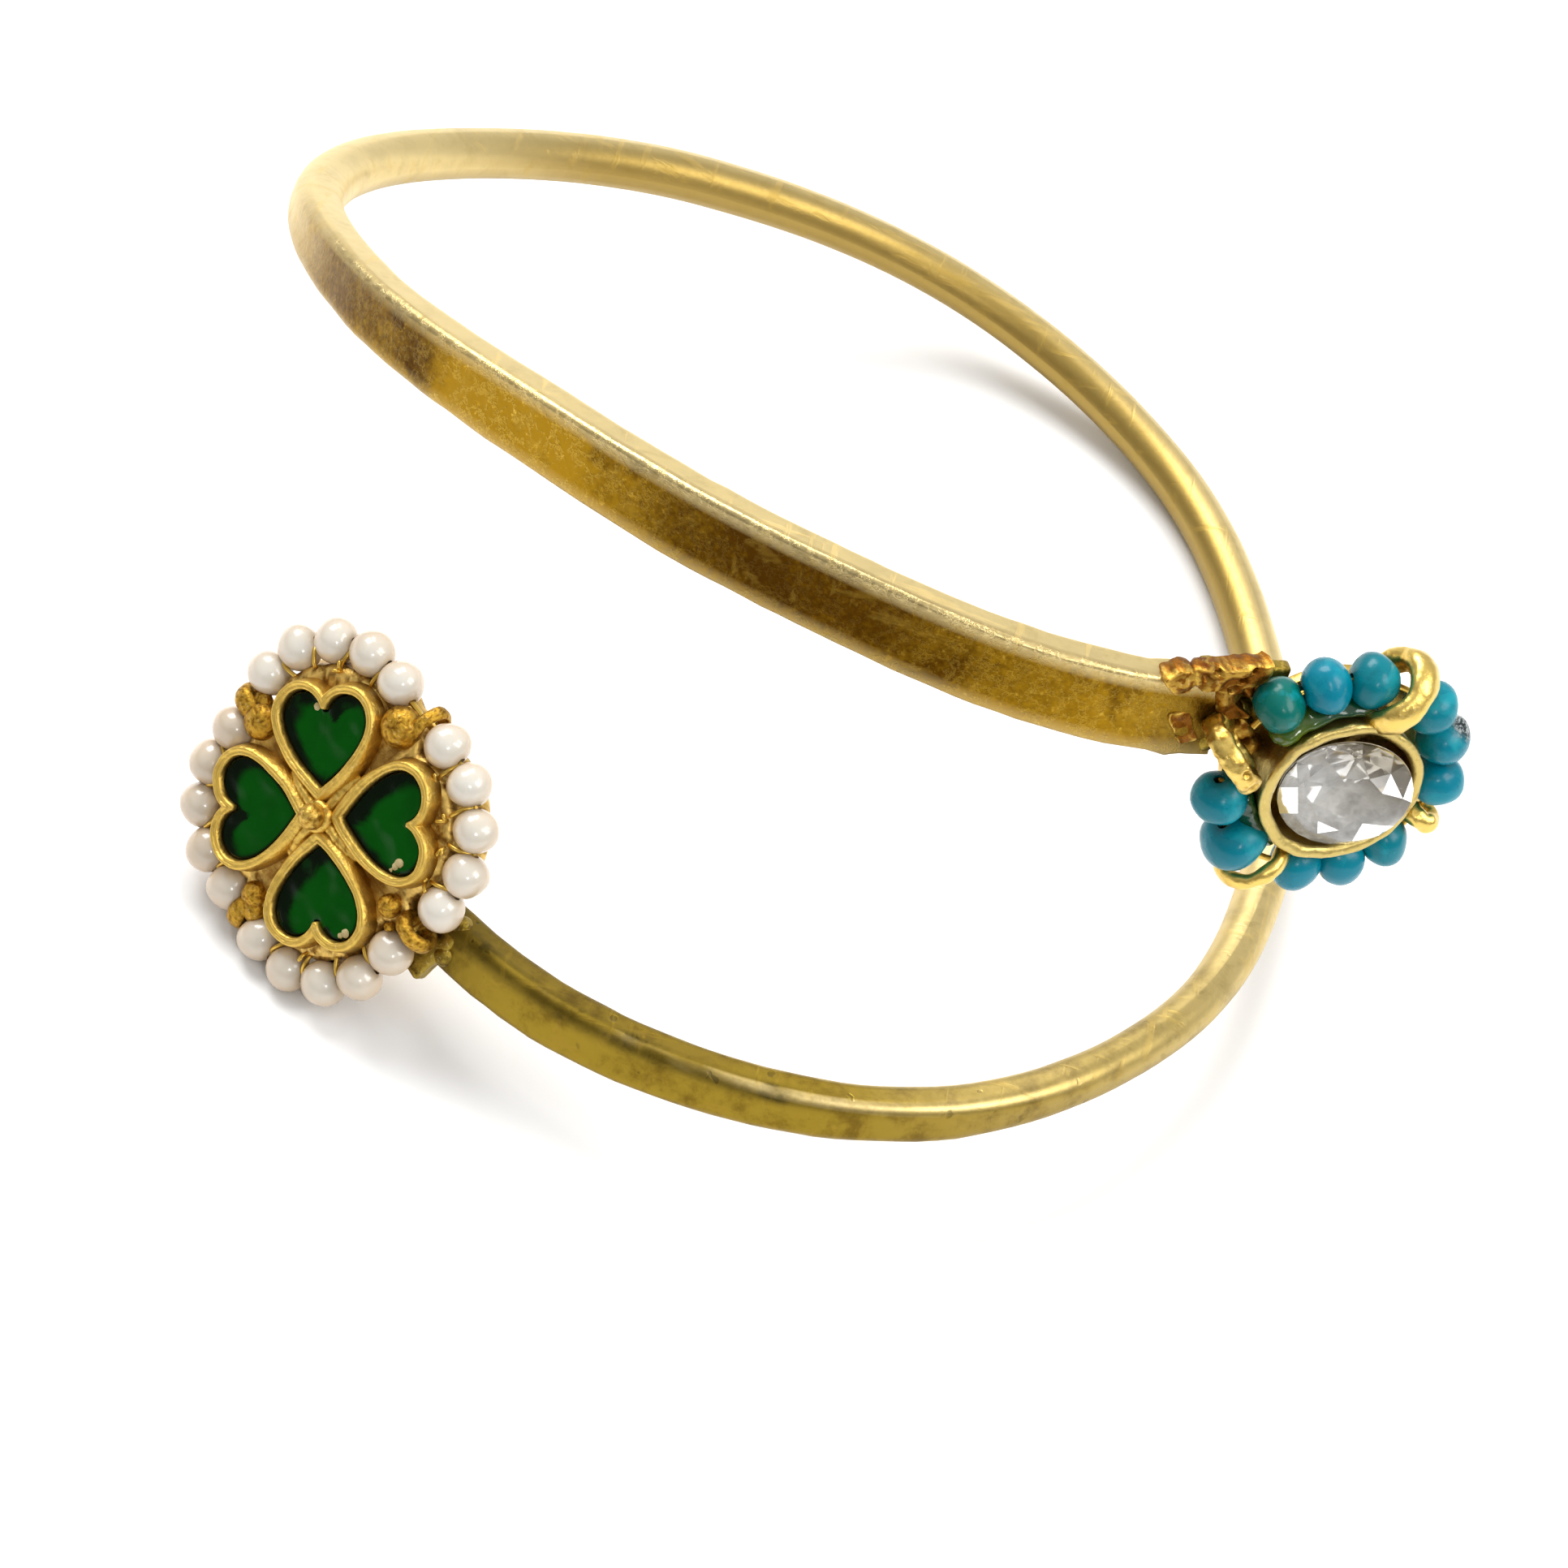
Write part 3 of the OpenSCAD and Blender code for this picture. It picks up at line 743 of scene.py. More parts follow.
def makeTies():
    # short ends of wire that hold the strings of pearls to the drum
    bm = bmesh.new()
    random.seed(11)
    for row in clover["rows"]:
        turn, centre = row[0], bowCentre(*row)
        for k in range(4):
            way = turn + (k - 1.5) * clover["pearlStep"]
            tilt = random.uniform(-clover["tieTilt"], clover["tieTilt"])
            rise = random.uniform(*clover["tieRise"])
            path = [centre + polar(way + tilt * bend, distance, height + rise * lift)
                    for (distance, height), bend, lift in zip(clover["tie"], (1, 0.5, 0, 0), (0, 1, 1, 0))]
            addTube(bm, path, clover["tieRadius"], steps=5)
            if turn == 0 or k == 1:  # some ends stick out
                end = centre + polar(way + tilt - 3, 3.95, 0.45)
                for reach in (0.55, 0.4):
                    lean = Vector((random.uniform(-1, 1), random.uniform(-1, 1), 0)).normalized() * reach
                    path = [end, end + lean * 0.4 + Vector((0, 0, 0.26)), end + lean + Vector((0, 0, 0.30))]
                    addTube(bm, path, clover["endRadius"], steps=4)
    return finishPiece("pearlTies", bm, cloverMatrix, golds["wireGold"], angle=180)


def makeJoint(name, tab, lumps, matrix, seed):
    # the tab behind a head and the lumps of solder that hold it to the bar
    x, y, turn, length, width, foot, top = tab
    bm = bmesh.new()
    floatLayer(bm, "low")
    made = bmesh.ops.create_cube(bm, size=1)["verts"]
    bmesh.ops.scale(bm, verts=made, vec=(length, width, top - foot))
    bmesh.ops.bevel(bm, geom=list(bm.edges), offset=0.22, offset_type="OFFSET", segments=3, profile=0.5,
                    material=-1, affect="EDGES")
    longEdges = [e for e in bm.edges if e.calc_length() > 0.5]
    bmesh.ops.subdivide_edges(bm, edges=longEdges, cuts=14, use_grid_fill=True)
    bm.transform(Matrix.Translation((x, y, (foot + top) / 2)) @ turned(turn) @ Matrix.Translation((length / 2, 0, 0)))
    for *place, radius in lumps:
        addBall(bm, place, radius)
    roughen(bm, 0.045, 0.85, seed, "low")
    return finishPiece(name, bm, matrix, golds["solderGold"], angle=75)


def makeCement():
    material, shader, coords = newMaterial("cementLook")
    grit = noiseAt(coords, 3500.0, 4.0, 0.7)
    setInputs(shader, Base_Color=painted((0.22, 0.15, 0.03), (grit, (0.72, 0.60, 0.32))),
              Roughness=rangeNode(grit, 0.2, 0.8, 0.45, 0.7), Normal=bumpNode(grit, 0.5, 0.0001))
    return material


def makeChips():
    bm = bmesh.new()
    for place, radius in clover["chips"]:
        addBall(bm, place, radius * 0.85, 24, squash=0.45)
    roughen(bm, 0.05, 0.30, 9.0)
    return finishPiece("cementChips", bm, cloverMatrix, makeCement(), angle=75)


cloverPieces = [makeDrum(), makeHeartCells(), makeCloverTrim(), makeCloverCentre(), makeTies(), makeChips(),
                makeJoint("cloverJoint", clover["tab"], clover["lumps"], cloverMatrix, 2.0)]
for piece in cloverPieces:
    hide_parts("bangle")
print("stage: clover metal")


def makeGreenGlass():
    material, shader, coords = newMaterial("greenGlass")
    depth = attribute(shader, "depth")   # 0 at the wall, 1 in the middle; the glass is painted in shade near the wall
    cloud = noiseAt(coords, 420.0, 3.0, 0.55)
    # painted light where the rim's shadow does not fall; elsewhere the glass is painted dark, as shadow
    lit = times(rangeNode(depth, 0.0, 0.35), attribute(shader, "shade"))
    lit = times(lit, weighted(0.55, (cloud, 0.8)), clamp=True)
    # painted sheen: lighter green patches of reflected light
    paintedSheen = rangeNode(noiseAt(coords, 700.0, 2.0), 0.60, 0.75)
    color = painted((0.0008, 0.005, 0.0006), (lit, (0.0, 0.064, 0.0015)), (times(paintedSheen, 0.20), (0.004, 0.090, 0.006)))
    setInputs(shader, Base_Color=color, Roughness=0.16, IOR=1.52, Specular_IOR_Level=0.12,
              Normal=bumpNode(noiseAt(coords, 330.0, 2.0), 0.35, 0.0002))
    return material


greenGlass = makeGreenGlass()


def makeHeart(k):
    # glass slab, its face a shallow uneven dish: share of the outline, height
    top = clover["glassTop"]
    outline, middle = heartPoints(clover["glassInset"], 0.0), Vector((0, clover["heartMiddle"], 0))
    profile = [(1.0, clover["glassFoot"]), (1.0, 0.95), (0.99, 1.06)] + [(0.96 - 0.08 * j, top) for j in range(12)]
    rings = [[middle.lerp(p, share) + Vector((0, 0, height)) for p in outline] for share, height in profile]
    depths = [[0.0 if height < 1 else smoothstep(1.0, 0.70, share)] * len(outline) for share, height in profile]
    bm = bmesh.new()
    loft(bm, rings, capStart=True, marks={"depth": depths})
    hub = bm.verts.new((middle.x, middle.y, top))
    rim = [e for e in bm.edges if e.is_boundary and e.verts[0].co.z > 1]
    for edge in rim:
        bmesh.ops.contextual_create(bm, geom=[edge.verts[0], edge.verts[1], hub])
    depthLayer = floatLayer(bm, "depth")
    hub[depthLayer] = 1.0
    shadeLayer = floatLayer(bm, "shade")
    turn = turned(90 - 90 * k)
    bm.transform(turn)
    back = turn.inverted()
    edges = [(p - middle).xy for p in outline]
    shadow = Vector(clover["rimShadow"])
    # painted light on the glass, cut off by the rim's painted shadow
    for v in bm.verts:
        if v.co.z > 1:
            v.co.z += noise.noise(v.co / 1.1 + Vector((k, 0, 0))) * 0.05 * v[depthLayer]
        way = (back @ (v.co - shadow) - middle).xy
        reach = 1.0
        if way.length > 0.05:  # distance to the outline that way
            side = way.normalized()
            reach = min((abs(side.cross(edge)) + 9 * (way.dot(edge) < 0), edge.length) for edge in edges)[1]
        ragged = noise.noise(v.co / 0.8 + Vector((k, 3, 0))) * 0.10
        v[shadeLayer] = smoothstep(0.98, 0.80, way.length / reach + ragged)
    return finishPiece("greenGlass%d" % k, bm, cloverMatrix, greenGlass, angle=35)


for k in range(1, 5):
    heart = makeHeart(k)
    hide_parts("green_heart_%d" % k)
print("stage: green glass")


def beadProfile(diameter, length, hole):
    # half section of a drilled bead, as (distance from the wire, place along it)
    r = length / 2
    flat = diameter / 2 - r
    start = math.acos(max(-1.0, min(1.0, (hole - flat) / r)))
    points = []
    for j in range(17):
        a = start * (j / 8 - 1)
        points.append((flat + r * math.cos(a), r * math.sin(a)))
    reach = points[-1][1]
    # the bore's wall lies over itself between these heights, unseen inside the bead
    return [(hole, 0.0), (hole, reach * 0.9)] + points + [(hole, -reach * 0.9)]


def addBead(bm, matrix, diameter, length, hole, seed, bump):
    sides = 32
    profile = beadProfile(diameter, length, hole)
    bore = [1.0 if i in (0, 1, len(profile) - 1) else 0.0 for i in range(len(profile))]
    rim = [smoothstep(hole * 2.6, hole, d) for d, z in profile]
    rings = [[polar(360 * j / sides, d, z) for d, z in profile] for j in range(sides)]
    loft(bm, rings, closed=True, marks={"bore": [bore] * sides, "hole": [rim] * sides})
    shift = Vector((seed * 3.1, seed * 1.7, seed))
    for v in bm.verts:
        v.co += v.co.normalized() * noise.noise(v.co / 1.3 + shift) * bump
    bm.transform(matrix)


def setMark(bm, name, value):
    layer = floatLayer(bm, name)
    for v in bm.verts:
        v[layer] = value(v) if callable(value) else value


def makePearlLook():
    material, shader, coords = newMaterial("pearlLook")
    facing = addNode(shader.id_data, "ShaderNodeLayerWeight", None, Blend=0.40).outputs["Facing"]
    color = painted(
        (0.70, 0.675, 0.595),
        (attribute(shader, "tint"), (0.50, 0.41, 0.29)),
        (times(noiseAt(coords, 600.0, 2.0), 0.40), (0.74, 0.70, 0.66)),
        # painted golden reflection round the rim
        (times(facing, 0.85), (0.56, 0.33, 0.12)),
        (times(attribute(shader, "near"), 0.6), (0.50, 0.32, 0.13)),  # painted golden reflection and shade on the side near the metal
        (times(attribute(shader, "hole"), 0.55), (0.42, 0.29, 0.14)),  # thin nacre at the drill holes
        # painted shade inside the drill hole
        (attribute(shader, "bore"), (0.20, 0.12, 0.05)))
    setInputs(shader, Base_Color=color, Roughness=0.28, Coat_Weight=0.9, Coat_Roughness=0.12,
              Subsurface_Weight=0.12, Subsurface_Radius=(0.0008, 0.0005, 0.0003),
              Normal=bumpNode(noiseAt(coords, 1500.0, 3.0), 0.25, 0.00008))
    return material


def makeTurquoiseLook():
    material, shader, coords = newMaterial("turquoiseLook")
    rock = attribute(shader, "matrix")
    cloud = placeGroup(patina, coords, Size=420.0, Amount=0.5)
    shadow = placeGroup(patina, coords, Size=260.0, Amount=0.3)
    cells = addNode(shader.id_data, "ShaderNodeTexVoronoi", {"feature": "DISTANCE_TO_EDGE"},
                    Vector=coords, Scale=520.0).outputs["Distance"]
    veins = times(rangeNode(cells, 0.035, 0.0), placeGroup(patina, coords, Size=380.0, Amount=0.35))
    speck = times(rock, rangeNode(noiseAt(coords, 3300.0, 3.0, 0.7), 0.45, 0.58))
    color = painted(
        (0.0, 0.190, 0.285),
        (attribute(shader, "tint"), (0.0, 0.125, 0.095)),
        (times(cloud, 0.65), (0.004, 0.300, 0.360)),
        (times(shadow, 0.65), (0.0, 0.085, 0.110)),
        # painted shade on the side near the metal
        (times(attribute(shader, "near"), 0.7), (0.0, 0.060, 0.070)),
        (times(veins, 0.6), (0.02, 0.04, 0.03)),
        (rock, (0.020, 0.026, 0.026)),
        (speck, (0.30, 0.34, 0.34)),
        (times(attribute(shader, "hole"), 0.6), (0.004, 0.035, 0.025)),  # dirt at the drill holes
        # painted shade inside the drill hole
        (attribute(shader, "bore"), (0.006, 0.012, 0.008)))
    lump = weighted(noiseAt(coords, 1300.0, 3.0), (noiseAt(coords, 420.0, 2.0), 2.0))
    setInputs(shader, Base_Color=color, Roughness=weighted(0.26, (cloud, 0.16)), Specular_IOR_Level=0.22,
              Coat_Weight=0.08, Coat_Roughness=0.12, Normal=bumpNode(lump, 0.35, 0.00012))
    return material


pearlLook, turquoiseLook = makePearlLook(), makeTurquoiseLook()

random.seed(4)
for i in range(20):
    turn, out, side = clover["rows"][i // 5]
    along = (2 - i % 5) * clover["pearlStep"]
    place = turned(turn) @ Matrix.Translation((out, side, 0)) @ ringMatrix(along, clover["bowRadius"], 0, 0)
    size = clover["pearl"] * clover["swell"] * random.uniform(0.985, 1.012)
    bm = bmesh.new()
    addBead(bm, place, size * 1.05, size, clover["hole"], i + 1.0, bump=0.09)
    # the side towards the drum takes the painted reflection and shade
    setMark(bm, "near", lambda v: smoothstep(0.1, -1.0, v.co.z))
    # the last two rows are darker and browner, as painted shade; each pearl's tint also differs at random
    setMark(bm, "tint", random.uniform(0.0, 0.35) + (0.55 if i > 14 else 0.35 if i > 9 else 0.0))
    piece = finishPiece("pearlBead%02d" % (i + 1), bm, cloverMatrix, pearlLook, angle=60)
    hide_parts("pearl_%02d" % (i + 1))
print("stage: pearls")


flower = {
    "beadRing": 5.75, "beadStep": 24.5, "bead": 2.78, "bigBead": 3.5, "beadLength": 2.42, "hole": 0.28,
    # direction of each row of beads, its first and last bead in steps from there
    "rows": [(90, -1, 1), (0, -1, 1), (270, -1, 1), (180, -1, 0)],
    # turn of each bead off its place, and its greenness
    "nudge": [-1.5, -1.5, -1.2, 1.5, 2.0, 0.5, -1.5, -0.7, 0.5, 0.0, -4.5],
    "tints": [0.95, 0.12, 0.45, 0.3, 0.2, 0.15, 0.35, 0.2, 0.15, 0.25, 0.3],
    "bigOne": 9, "darkOne": 4,  # the larger bead, and the one with a corner of dark matrix
    # angle, distance, height, ring radius, band thickness, band width, turn
    "rings": [(51, 5.5, 0.1, 1.76, 0.54, 0.80, -20), (141.9, 6.52, 1.0, 1.78, 0.32, 0.60, -31),
              (222, 5.95, 0.0, 1.60, 0.40, 0.46, -25), (315, 5.98, 0.05, 0.72, 0.42, 0.52, 0)],
    # the second ring is a pitted strap at the bar's side: angle round the ring, place across it, radius
    "pits": [(118, 0.15, 0.34), (150, -0.20, 0.30), (84, 0.25, 0.26)],
    "tab": (-6.3, 5.9, -24, 4.8, 4.4, -2.3, -1.45),
    "lumps": [(-5.6, 7.0, -1.5, 0.8), (-4.6, 5.9, -1.5, 0.9), (-5.2, 4.4, -1.1, 0.9), (-5.9, 3.4, -1.3, 0.7),
              (-3.9, 4.5, -1.5, 0.7)],
    # torn plates of the casting over the bar's end: top, thickness, corners
    "plates": [
        (-0.40, 1.25, [(-7.7, 8.5), (-6.9, 8.6), (-6.2, 8.45), (-5.97, 7.9), (-6.55, 7.25), (-7.4, 7.55)]),
        (-0.42, 0.70, [(-7.75, 5.95), (-7.1, 6.2), (-6.6, 6.0), (-6.6, 5.15), (-6.35, 4.2), (-7.3, 4.15)]),
        (-0.34, 1.20, [(-6.1, 8.55), (-4.6, 8.1), (-2.7, 7.6), (-2.2, 7.5), (-2.9, 6.5), (-4.3, 6.9), (-5.9, 7.3)]),
        (-0.46, 1.00, [(-5.5, 8.3), (-4.4, 7.9), (-3.4, 6.6), (-4.3, 6.45), (-5.0, 6.8), (-5.3, 7.4)]),
        (-0.52, 1.00, [(-5.2, 6.85), (-4.45, 6.55), (-4.3, 5.6), (-3.65, 4.5), (-4.8, 4.75), (-5.3, 6.0)]),
        (-0.60, 0.90, [(-4.4, 4.4), (-3.7, 4.1), (-3.5, 2.9), (-3.75, 2.0), (-4.3, 2.6), (-4.6, 3.6)]),
    ],
    # pits in them: x, y, radius
    "holes": [(-4.35, 6.72, 0.34), (-5.5, 7.95, 0.32), (-3.75, 7.15, 0.26), (-4.0, 5.85, 0.36), (-4.45, 4.42, 0.40),
              (-5.0, 8.1, 0.28), (-7.2, 4.9, 0.35), (-3.2, 7.5, 0.24), (-4.0, 3.2, 0.30)],
    # dark lumps that fill the hollows below, darkened as dirt and painted shade
    "heap": [(-5.0, 6.9, -1.25, 0.6), (-4.3, 6.3, -1.2, 0.7), (-4.9, 5.6, -1.25, 0.7), (-4.4, 4.7, -1.2, 0.7),
             (-3.95, 3.6, -1.05, 0.66), (-3.75, 2.7, -0.8, 0.60), (-3.3, 5.9, -1.15, 0.55)],
    # start, arc, thickness, height; all on one ring
    "glueArcs": [(56, 74, 0.46, 0.95), (172, 50, 0.50, 0.70)], "glueRing": 4.48, "glueHeight": 0.22,
}
beadAngles = [turn - k * flower["beadStep"] for turn, first, last in flower["rows"] for k in range(first, last + 1)]
corner = polar(10, 7.15, 0.35)
for i, angle in enumerate(beadAngles):
    bm = bmesh.new()
    place = ringMatrix(angle + flower["nudge"][i], flower["beadRing"], 0, 0)
    size = flower["bigBead"] if i == flower["bigOne"] else flower["bead"]
    addBead(bm, place, size, flower["beadLength"], flower["hole"], i + 31.0, bump=0.14)
    setMark(bm, "tint", flower["tints"][i])
    setMark(bm, "near", lambda v: smoothstep(0.2, -1.3, v.co.z))
    setMark(bm, "matrix", 0.0)
    if i == flower["darkOne"]:
        for v in bm.verts:
            v.co = v.co.lerp(corner, 0.35 * smoothstep(1.5, 0.2, (v.co - corner).length))
        setMark(bm, "matrix", lambda v: smoothstep(1.15, 0.75, (v.co - corner).length))
    piece = finishPiece("turquoiseBead%02d" % (i + 1), bm, flowerMatrix, turquoiseLook, angle=60)
    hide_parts("turquoise_%02d" % (i + 1))
print("stage: turquoise beads")


cup = {
    # radius, height
    "outside": [(0.2, -1.8), (3.9, -1.8), (3.97, -1.5), (4.0, 0.2), (4.07, 0.9), (4.15, 1.22), (4.2, 1.40),
                (4.18, 1.54), (4.08, 1.63), (3.90, 1.65), (3.72, 1.60), (3.60, 1.50)],
    "inside": [(3.56, 1.38), (3.63, 1.2), (3.62, 0.4), (3.5, -0.6), (3.2, -1.15), (0.2, -1.2)],
    "plate": [(0.3 + 0.36 * k, -2.1) for k in range(13)] + [
        (4.9, -2.1), (5.15, -2.05), (5.2, -1.8), (5.15, -1.5), (4.9, -1.45), (3.0, -1.45)],
    "count": 96,
}


def makeCup():
    count = cup["count"]
    rings = []
    for r, z in cup["outside"] + cup["inside"]:
        high = smoothstep(0.6, 1.5, z)  # only the rim is uneven
        ring = []
        for i in range(count):
            a = 360 * i / count
            wave = noise.noise(polar(a, 3.5, z * 0.5)) * 0.10 * high
            lift = noise.noise(polar(a, 2.2, 3)) * 0.12 * high
            ring.append(polar(a, r + wave, z + lift))
        rings.append(ring)
    # painted shade: the outside darker towards the foot, the inside darker deeper down
    lows = [smoothstep(0.9, -0.6, z) * 0.9 for r, z in cup["outside"]]
    lows += [smoothstep(1.5, 0.3, z) * 0.55 for r, z in cup["inside"]]
    bm = bmesh.new()
    loft(bm, rings, capStart=True, capEnd=True, marks={"low": [[low] * count for low in lows]})
    roughen(bm, 0.04, 0.6, 12.0)
    return finishPiece("cup", bm, flowerMatrix, golds["cupGold"], angle=60)


def makeFlowerPlate():
    count = cup["count"]
    rings = [[polar(360 * i / count, r, z) for i in range(count)] for r, z in cup["plate"]]
    bm = bmesh.new()
    loft(bm, rings, capStart=True, capEnd=True, marks={"low": [[0.35] * count] * len(rings)})
    roughen(bm, 0.05, 1.6, 2.0)
    return finishPiece("flowerPlate", bm, flowerMatrix, golds["ringGold"], angle=60)


def makeFlowerRings():
    bm = bmesh.new()
    for i, (angle, distance, height, ring, tube, width, turn) in enumerate(flower["rings"]):
        part = bmesh.new()
        addTorus(part, Matrix.Identity(4), ring, tube, width, steps=110, sides=32, vary=0.3, seed=i * 5.0)
        roughen(part, 0.05, 0.7, 3.0 + i)
        layer = floatLayer(part, "low")
        if i == 1:
            roughen(part, 0.05, 0.35, 5.0, "low")
            for (share, across, size), sign in ((pit, sign) for pit in flower["pits"] for sign in (1, -1)):
                spot = polar(share, ring + sign * tube, across)
                for v in part.verts:
                    depth = smoothstep(size, size * 0.45, (v.co - spot).length)
                    if depth:
                        v.co -= polar(share, sign * depth * 0.20)
                        v[layer] = max(v[layer], depth)
        part.transform(ringMatrix(angle, distance, height, turn))
        joinTo(bm, part)
    return finishPiece("flowerRings", bm, flowerMatrix, golds["ringGold"], angle=75)


def curveThrough(points, steps):
    # a closed curve through the corners of a plate
    count = len(points)
    path = []
    for k in range(count):
        around = [Vector((*points[(k + j) % count], 0)) for j in (-1, 0, 1, 2)]
        path += [splinePoint(*around, i / steps) for i in range(steps)]
    return path


def addPlate(bm, corners, top, thick, seed):
    outline = curveThrough(corners, 16)
    middle = sum(outline, Vector()) / len(outline)
    for p in outline:
        ragged = noise.noise(p / 0.8 + Vector((seed, 0, 0))) * 0.20 + noise.noise(p / 0.3) * 0.04
        p += (p - middle).normalized() * ragged
    profile = [(0.86, top - thick), (0.97, top - thick * 0.7), (1.0, top - thick * 0.35),
               (0.99, top - 0.10), (0.95, top - 0.02)] + [(0.90 - 0.07 * j, top) for j in range(13)]
    rings, lows = [], []
    for share, height in profile:
        rings.append([middle.lerp(p, share) + Vector((0, 0, height)) for p in outline])
        # painted shade on the plates' sides; their tops darker towards the middle
        lows.append([0.9 if height < top - 0.2 else 0.95 * smoothstep(0.97, 0.76, share)] * len(outline))
    loft(bm, rings, capStart=True, capEnd=True, marks={"low": lows})


def makeCasting():
    # torn plates between the bar's end and the beads, with dark pits and hollows
    bm = bmesh.new()
    low = floatLayer(bm, "low")
    for k, (top, thick, corners) in enumerate(flower["plates"]):
        addPlate(bm, corners, top, thick, k * 5.0)
    for *place, radius in flower["heap"]:
        addBall(bm, place, radius, low=0.85)
    # hollows marked darker: dirt, with painted shade
    moves = [min(1.0, abs(noise.noise(v.co / 1.2 + Vector((3, 1, 7)))) * 2.4) for v in bm.verts]
    for v, move in zip(bm.verts, moves):
        v.co.z += (move - 0.5) * 0.22
        v[low] = min(1.0, v[low] * (1.35 - move) + smoothstep(0.22, 0.05, move) * 0.6)
        for x, y, size in flower["holes"]:
            sink = smoothstep(size, size * 0.5, math.hypot(v.co.x - x, v.co.y - y))
            if sink and v.co.z > -1.0:
                v.co.z -= sink * 0.35
                v[low] = max(v[low], sink)
    roughen(bm, 0.02, 0.30, 4.0, "low")
    return finishPiece("casting", bm, flowerMatrix, golds["castGold"], angle=75)


def makeGlueLook():
    material, shader, coords = newMaterial("glueLook")
    cloud = noiseAt(coords, 500.0, 3.0)
    color = painted((0.002, 0.040, 0.012), (attribute(shader, "yellow"), (0.085, 0.135, 0.004)),
                    (rangeNode(cloud, 0.45, 0.7), (0.004, 0.065, 0.018)))
    setInputs(shader, Base_Color=color, Roughness=0.18, Coat_Weight=0.4, Normal=bumpNode(cloud, 0.3, 0.0002))
    return material


def yellowGlue(v):
    # one stretch of the glue has gone yellow
    angle = math.degrees(math.atan2(v.co.y, v.co.x))
    return smoothstep(88, 118, angle) * smoothstep(150, 130, angle) if angle > 0 else 0.0


def makeGlue():
    # green glue squeezed out between beads and cup
    bm = bmesh.new()
    for start, arc, tube, tall in flower["glueArcs"]:
        addTorus(bm, Matrix.Translation((0, 0, flower["glueHeight"])) @ turned(start), flower["glueRing"],
                 tube, tall, arc=arc, steps=48, sides=20, vary=0.3, seed=start)
    roughen(bm, 0.12, 0.8, 8.0)
    setMark(bm, "yellow", yellowGlue)
    return finishPiece("glue", bm, flowerMatrix, makeGlueLook(), angle=75)


flowerPieces = [makeCup(), makeFlowerPlate(), makeFlowerRings(), makeCasting(),
                makeJoint("flowerJoint", flower["tab"], flower["lumps"], flowerMatrix, 7.0)]
for piece in flowerPieces:
    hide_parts("bangle")
makeGlue()
print("stage: flower metal")


def makeCrystalLook():
    material, shader = newMaterial("crystalLook")[:2]
    # random facets painted lighter, as painted light
    color = painted((0.86, 0.85, 0.82), (attribute(shader, "facetLight"), (0.99, 0.99, 0.99)),
                    # a painted golden reflection of the cup on one side
                    (attribute(shader, "cupReflection"), (0.31, 0.25, 0.15)))
    setInputs(shader, Base_Color=color, Roughness=0.05, Transmission_Weight=0.86, IOR=1.5)
    return material


def makeFoilLook():
    # silvery foil crumpled behind the stone, with painted reflections: bright patches, and a painted golden
    # reflection of the cup along one side
    material, shader, coords = newMaterial("stoneFoil")
    # painted reflections: bright patches where the crumpled foil would catch light
    foilReflections = rangeNode(noiseAt(coords, 680.0, 4.0, 0.55), 0.36, 0.52)
    color = painted((0.46, 0.44, 0.40), (foilReflections, (0.98, 0.98, 0.97)),
                    (times(attribute(shader, "cupReflection"), 0.85), (0.40, 0.32, 0.19)))
    setInputs(shader, Base_Color=color, Metallic=0.15, Roughness=0.32,
              Normal=bumpNode(noiseAt(coords, 1100.0, 2.0), 0.8, 0.0006))
    return material


crystal = {
    "place": (0.20, -0.27, 1.36), "lean": -12.0, "turn": 11.25, "radius": 3.33,  # it sits askew in its cup
    # rings of corners: count, share of the radius, height, first angle
    "stone": [(24, 1.0, 0.0, 0), (24, 1.0, 0.12, 0), (9, 0.80, 0.46, 10), (9, 0.52, 0.66, 30),
              (9, 0.62, -0.66, 12), (6, 0.14, -1.22, 0)],
    "uneven": 0.07, "shift": (0.16, -0.10),  # how far the cutter missed, in size and in place
    # the dish of foil: share of the radius, height
    "foil": [(0.99, -0.08), (0.94, -0.22), (0.88, -0.34), (0.82, -0.46), (0.76, -0.58), (0.69, -0.70),
             (0.62, -0.82), (0.54, -0.92), (0.46, -1.02), (0.37, -1.12), (0.28, -1.22), (0.19, -1.32),
             (0.10, -1.40)],
}
crystalMatrix = (flowerMatrix @ Matrix.Translation(crystal["place"])
                 @ turned(crystal["lean"], "Y") @ turned(crystal["turn"]))


def makeStone():
    # facets from the hull of a few rings of points
    bm = bmesh.new()
    for count, share, height, first in crystal["stone"]:
        verts = bmesh.ops.create_circle(bm, segments=count, radius=share * crystal["radius"])["verts"]
        bmesh.ops.rotate(bm, verts=verts, matrix=Matrix.Rotation(math.radians(first), 3, "Z"))
        bmesh.ops.translate(bm, verts=verts, vec=(0, 0, height))
        if share < 0.9:
            for v in verts:
                v.co.xy *= 1 + crystal["uneven"] * math.sin(v.co.x * 3.1 + v.co.y * 1.7 + height)
                v.co.xy += Vector(crystal["shift"]) * (1 - share)
    bmesh.ops.convex_hull(bm, input=bm.verts)
    bmesh.ops.dissolve_limit(bm, angle_limit=math.radians(1), verts=bm.verts, edges=bm.edges)
    bmesh.ops.split_edges(bm, edges=bm.edges)
    facetLight = floatLayer(bm, "facetLight")
    # each facet gets a random share of painted light
    rng = random.Random(3)
    for face in bm.faces:
        value = rng.random()
        for v in face.verts:
            v[facetLight] = value
    # painted golden reflection of the cup on one side
    setMark(bm, "cupReflection", lambda v: 0.9 * smoothstep(0.1, 2.3, v.co.x * 0.9 + v.co.y * 0.35))
    return finishPiece("crystalStone", bm, crystalMatrix, makeCrystalLook(), angle=1)


